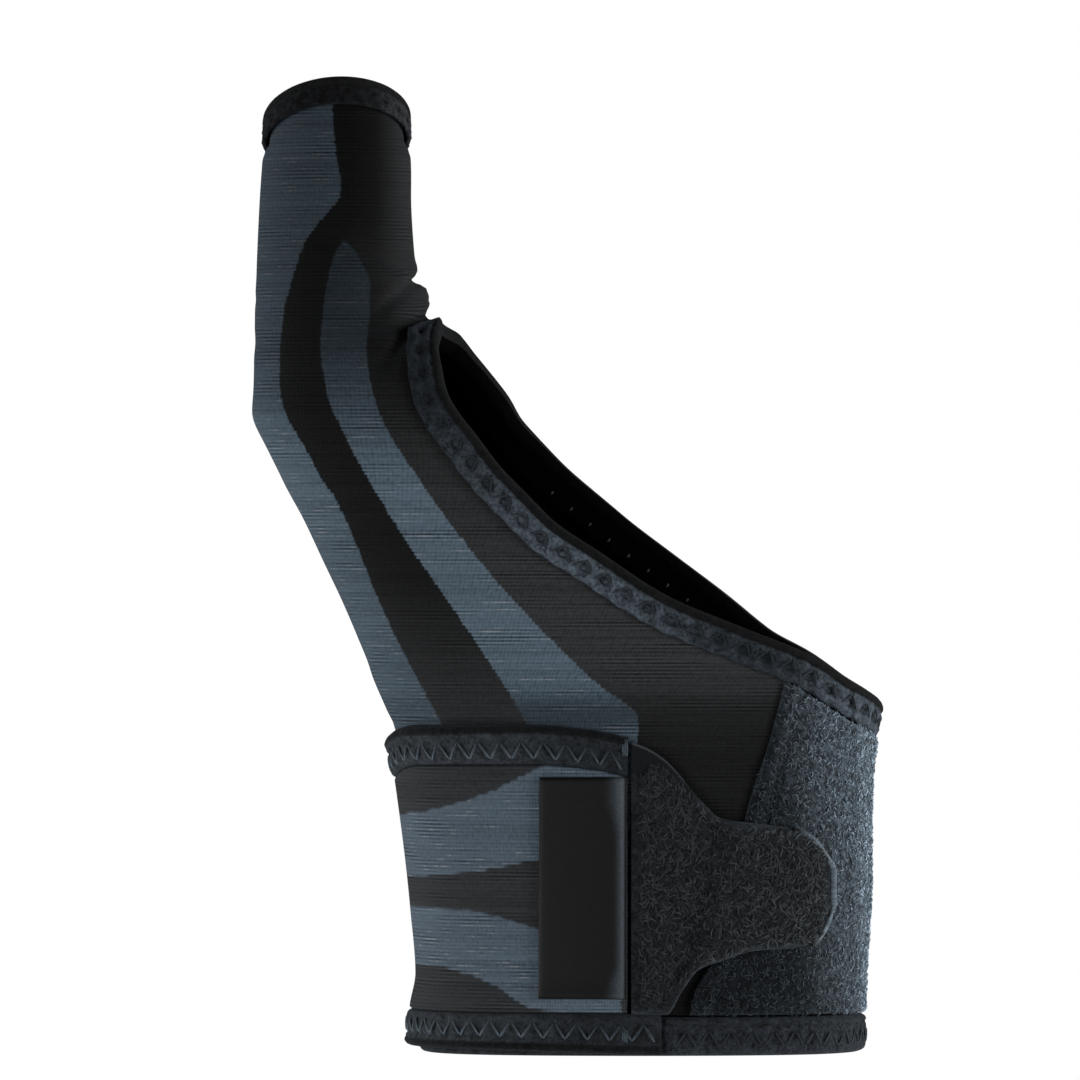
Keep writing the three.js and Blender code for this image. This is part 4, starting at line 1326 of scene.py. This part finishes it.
def makeInnerStitch():
    back = np.flatnonzero(rimTurns < -0.15)
    along = np.arange(rimAlong[back[0]] + 8, rimAlong[back[-1]] - 6, openingHem["pitch"])
    along = along[np.interp(along, rimAlong[back], rimHeight[back]) < stitches["innerTop"]]
    height = np.interp(along, rimAlong[back], rimHeight[back])
    turn = np.interp(along, rimAlong[back], rimTurns[back])
    frames = rimFrames(rimHeight, rimTurns)
    into = unit(np.stack([np.interp(along, rimAlong, frames[2][:, k]) for k in range(3)], 1))
    under = -form["wall"] - binding["gap"] - binding["thickness"] - 0.06
    sides = [lifted(*walk(height, turn, into, 2.2 + step + 0 * along), under + 0 * along) for step in (0, 0.7)]
    outs = -faceFrame(height, turn)[2]
    shortThreads("innerStitch", sides[0], sides[1], outs, 0.2, threadFinish("innerThread", (0.03, 0.032, 0.035)))


# The strap's sewn end on the palm side.
def makeEndStitch():
    low = np.arange(2.0, 44.5, 2.5)
    turns = np.full_like(low, strap["end"] - 0.06)
    rise = strapUnder(low) + strap["thickness"] + np.where(low < 6.2, 0.3, 0) + 0.02
    starts, ends = lifted(low, turns, rise), lifted(low + 1.7, turns, rise)
    shortThreads("endStitch", starts, ends, faceFrame(low, turns)[2], 0.14, slateThread)


makeBarTacks()
makeInnerStitch()
makeEndStitch()
print("stitches done")

studio = {
    "distance": 2.0,
    "view": 0.16615,  # width of the frame at the object
    "centre": (-0.0146, 0.0, 0.0785),
    "floor": -0.3,
    "ambient": 0.08,
}


def makeStudio():
    scene = bpy.context.scene
    scene.view_settings.view_transform = "Standard"
    camera = bpy.data.cameras.new("camera")
    camera.sensor_width = 36
    camera.lens = 36 * studio["distance"] / studio["view"]
    camera.clip_end = 20
    eye = bpy.data.objects.new("camera", camera)
    eye.location = (studio["centre"][0], -studio["distance"], studio["centre"][2])
    eye.rotation_euler = (pi / 2, 0, 0)
    scene.collection.objects.link(eye)
    scene.camera = eye

    mesh = bpy.data.meshes.new("floor")
    half = 4
    corners = ((-half, -half), (half, -half), (half, half), (-half, half))
    mesh.from_pydata([(x, y, studio["floor"]) for x, y in corners], [], [(0, 1, 2, 3)])
    floor = bpy.data.objects.new("floor", mesh)
    scene.collection.objects.link(floor)
    paper = Finish("palePaper", 0.9)
    mottle = paper.noise(paper.millimetres(), 400, 3.0)
    paper.colour(paper.shade((0.9, 0.9, 0.9), paper.between(mottle, 0.3, 0.7, 0.985, 1.015)))
    floor.data.materials.append(paper.material)

    world = bpy.data.worlds.new("studio")
    scene.world = world
    world.use_nodes = True
    nodes, links = world.node_tree.nodes, world.node_tree.links
    plain = nodes["Background"]
    plain.inputs["Color"].default_value = (0.92, 0.97, 1, 1)
    plain.inputs["Strength"].default_value = studio["ambient"]
    seen = nodes.new("ShaderNodeBackground")
    seen.inputs["Color"].default_value = (1, 1, 1, 1)
    choose = nodes.new("ShaderNodeMixShader")
    links.new(nodes.new("ShaderNodeLightPath").outputs["Is Camera Ray"], choose.inputs["Fac"])
    links.new(plain.outputs[0], choose.inputs[1])
    links.new(seen.outputs[0], choose.inputs[2])
    links.new(choose.outputs[0], nodes["World Output"].inputs["Surface"])

    # name, place, power in watts, width, height
    softboxes = [
        ("leftSoftbox", (-1.0, -1.0, 0.1), 15, 0.6, 0.9),
        ("rightSoftbox", (1.1, -0.8, 0.05), 17, 0.6, 0.9),
        ("leftSideBox", (-1.0, 0.35, 0.15), 8, 0.3, 0.9),
        ("rightSideBox", (1.0, 0.15, 0.1), 14, 0.3, 0.9),
    ]
    for name, place, power, width, height in softboxes:
        lamp = bpy.data.lights.new(name, "AREA")
        lamp.shape, lamp.size, lamp.size_y, lamp.energy = "RECTANGLE", width, height, power
        light = bpy.data.objects.new(name, lamp)
        light.location = place
        aim = np.array(studio["centre"]) - np.array(place)
        light.rotation_mode = "QUATERNION"
        light.rotation_quaternion = Vector(aim.tolist()).to_track_quat("-Z", "Y")
        scene.collection.objects.link(light)


makeStudio()
print("studio done")
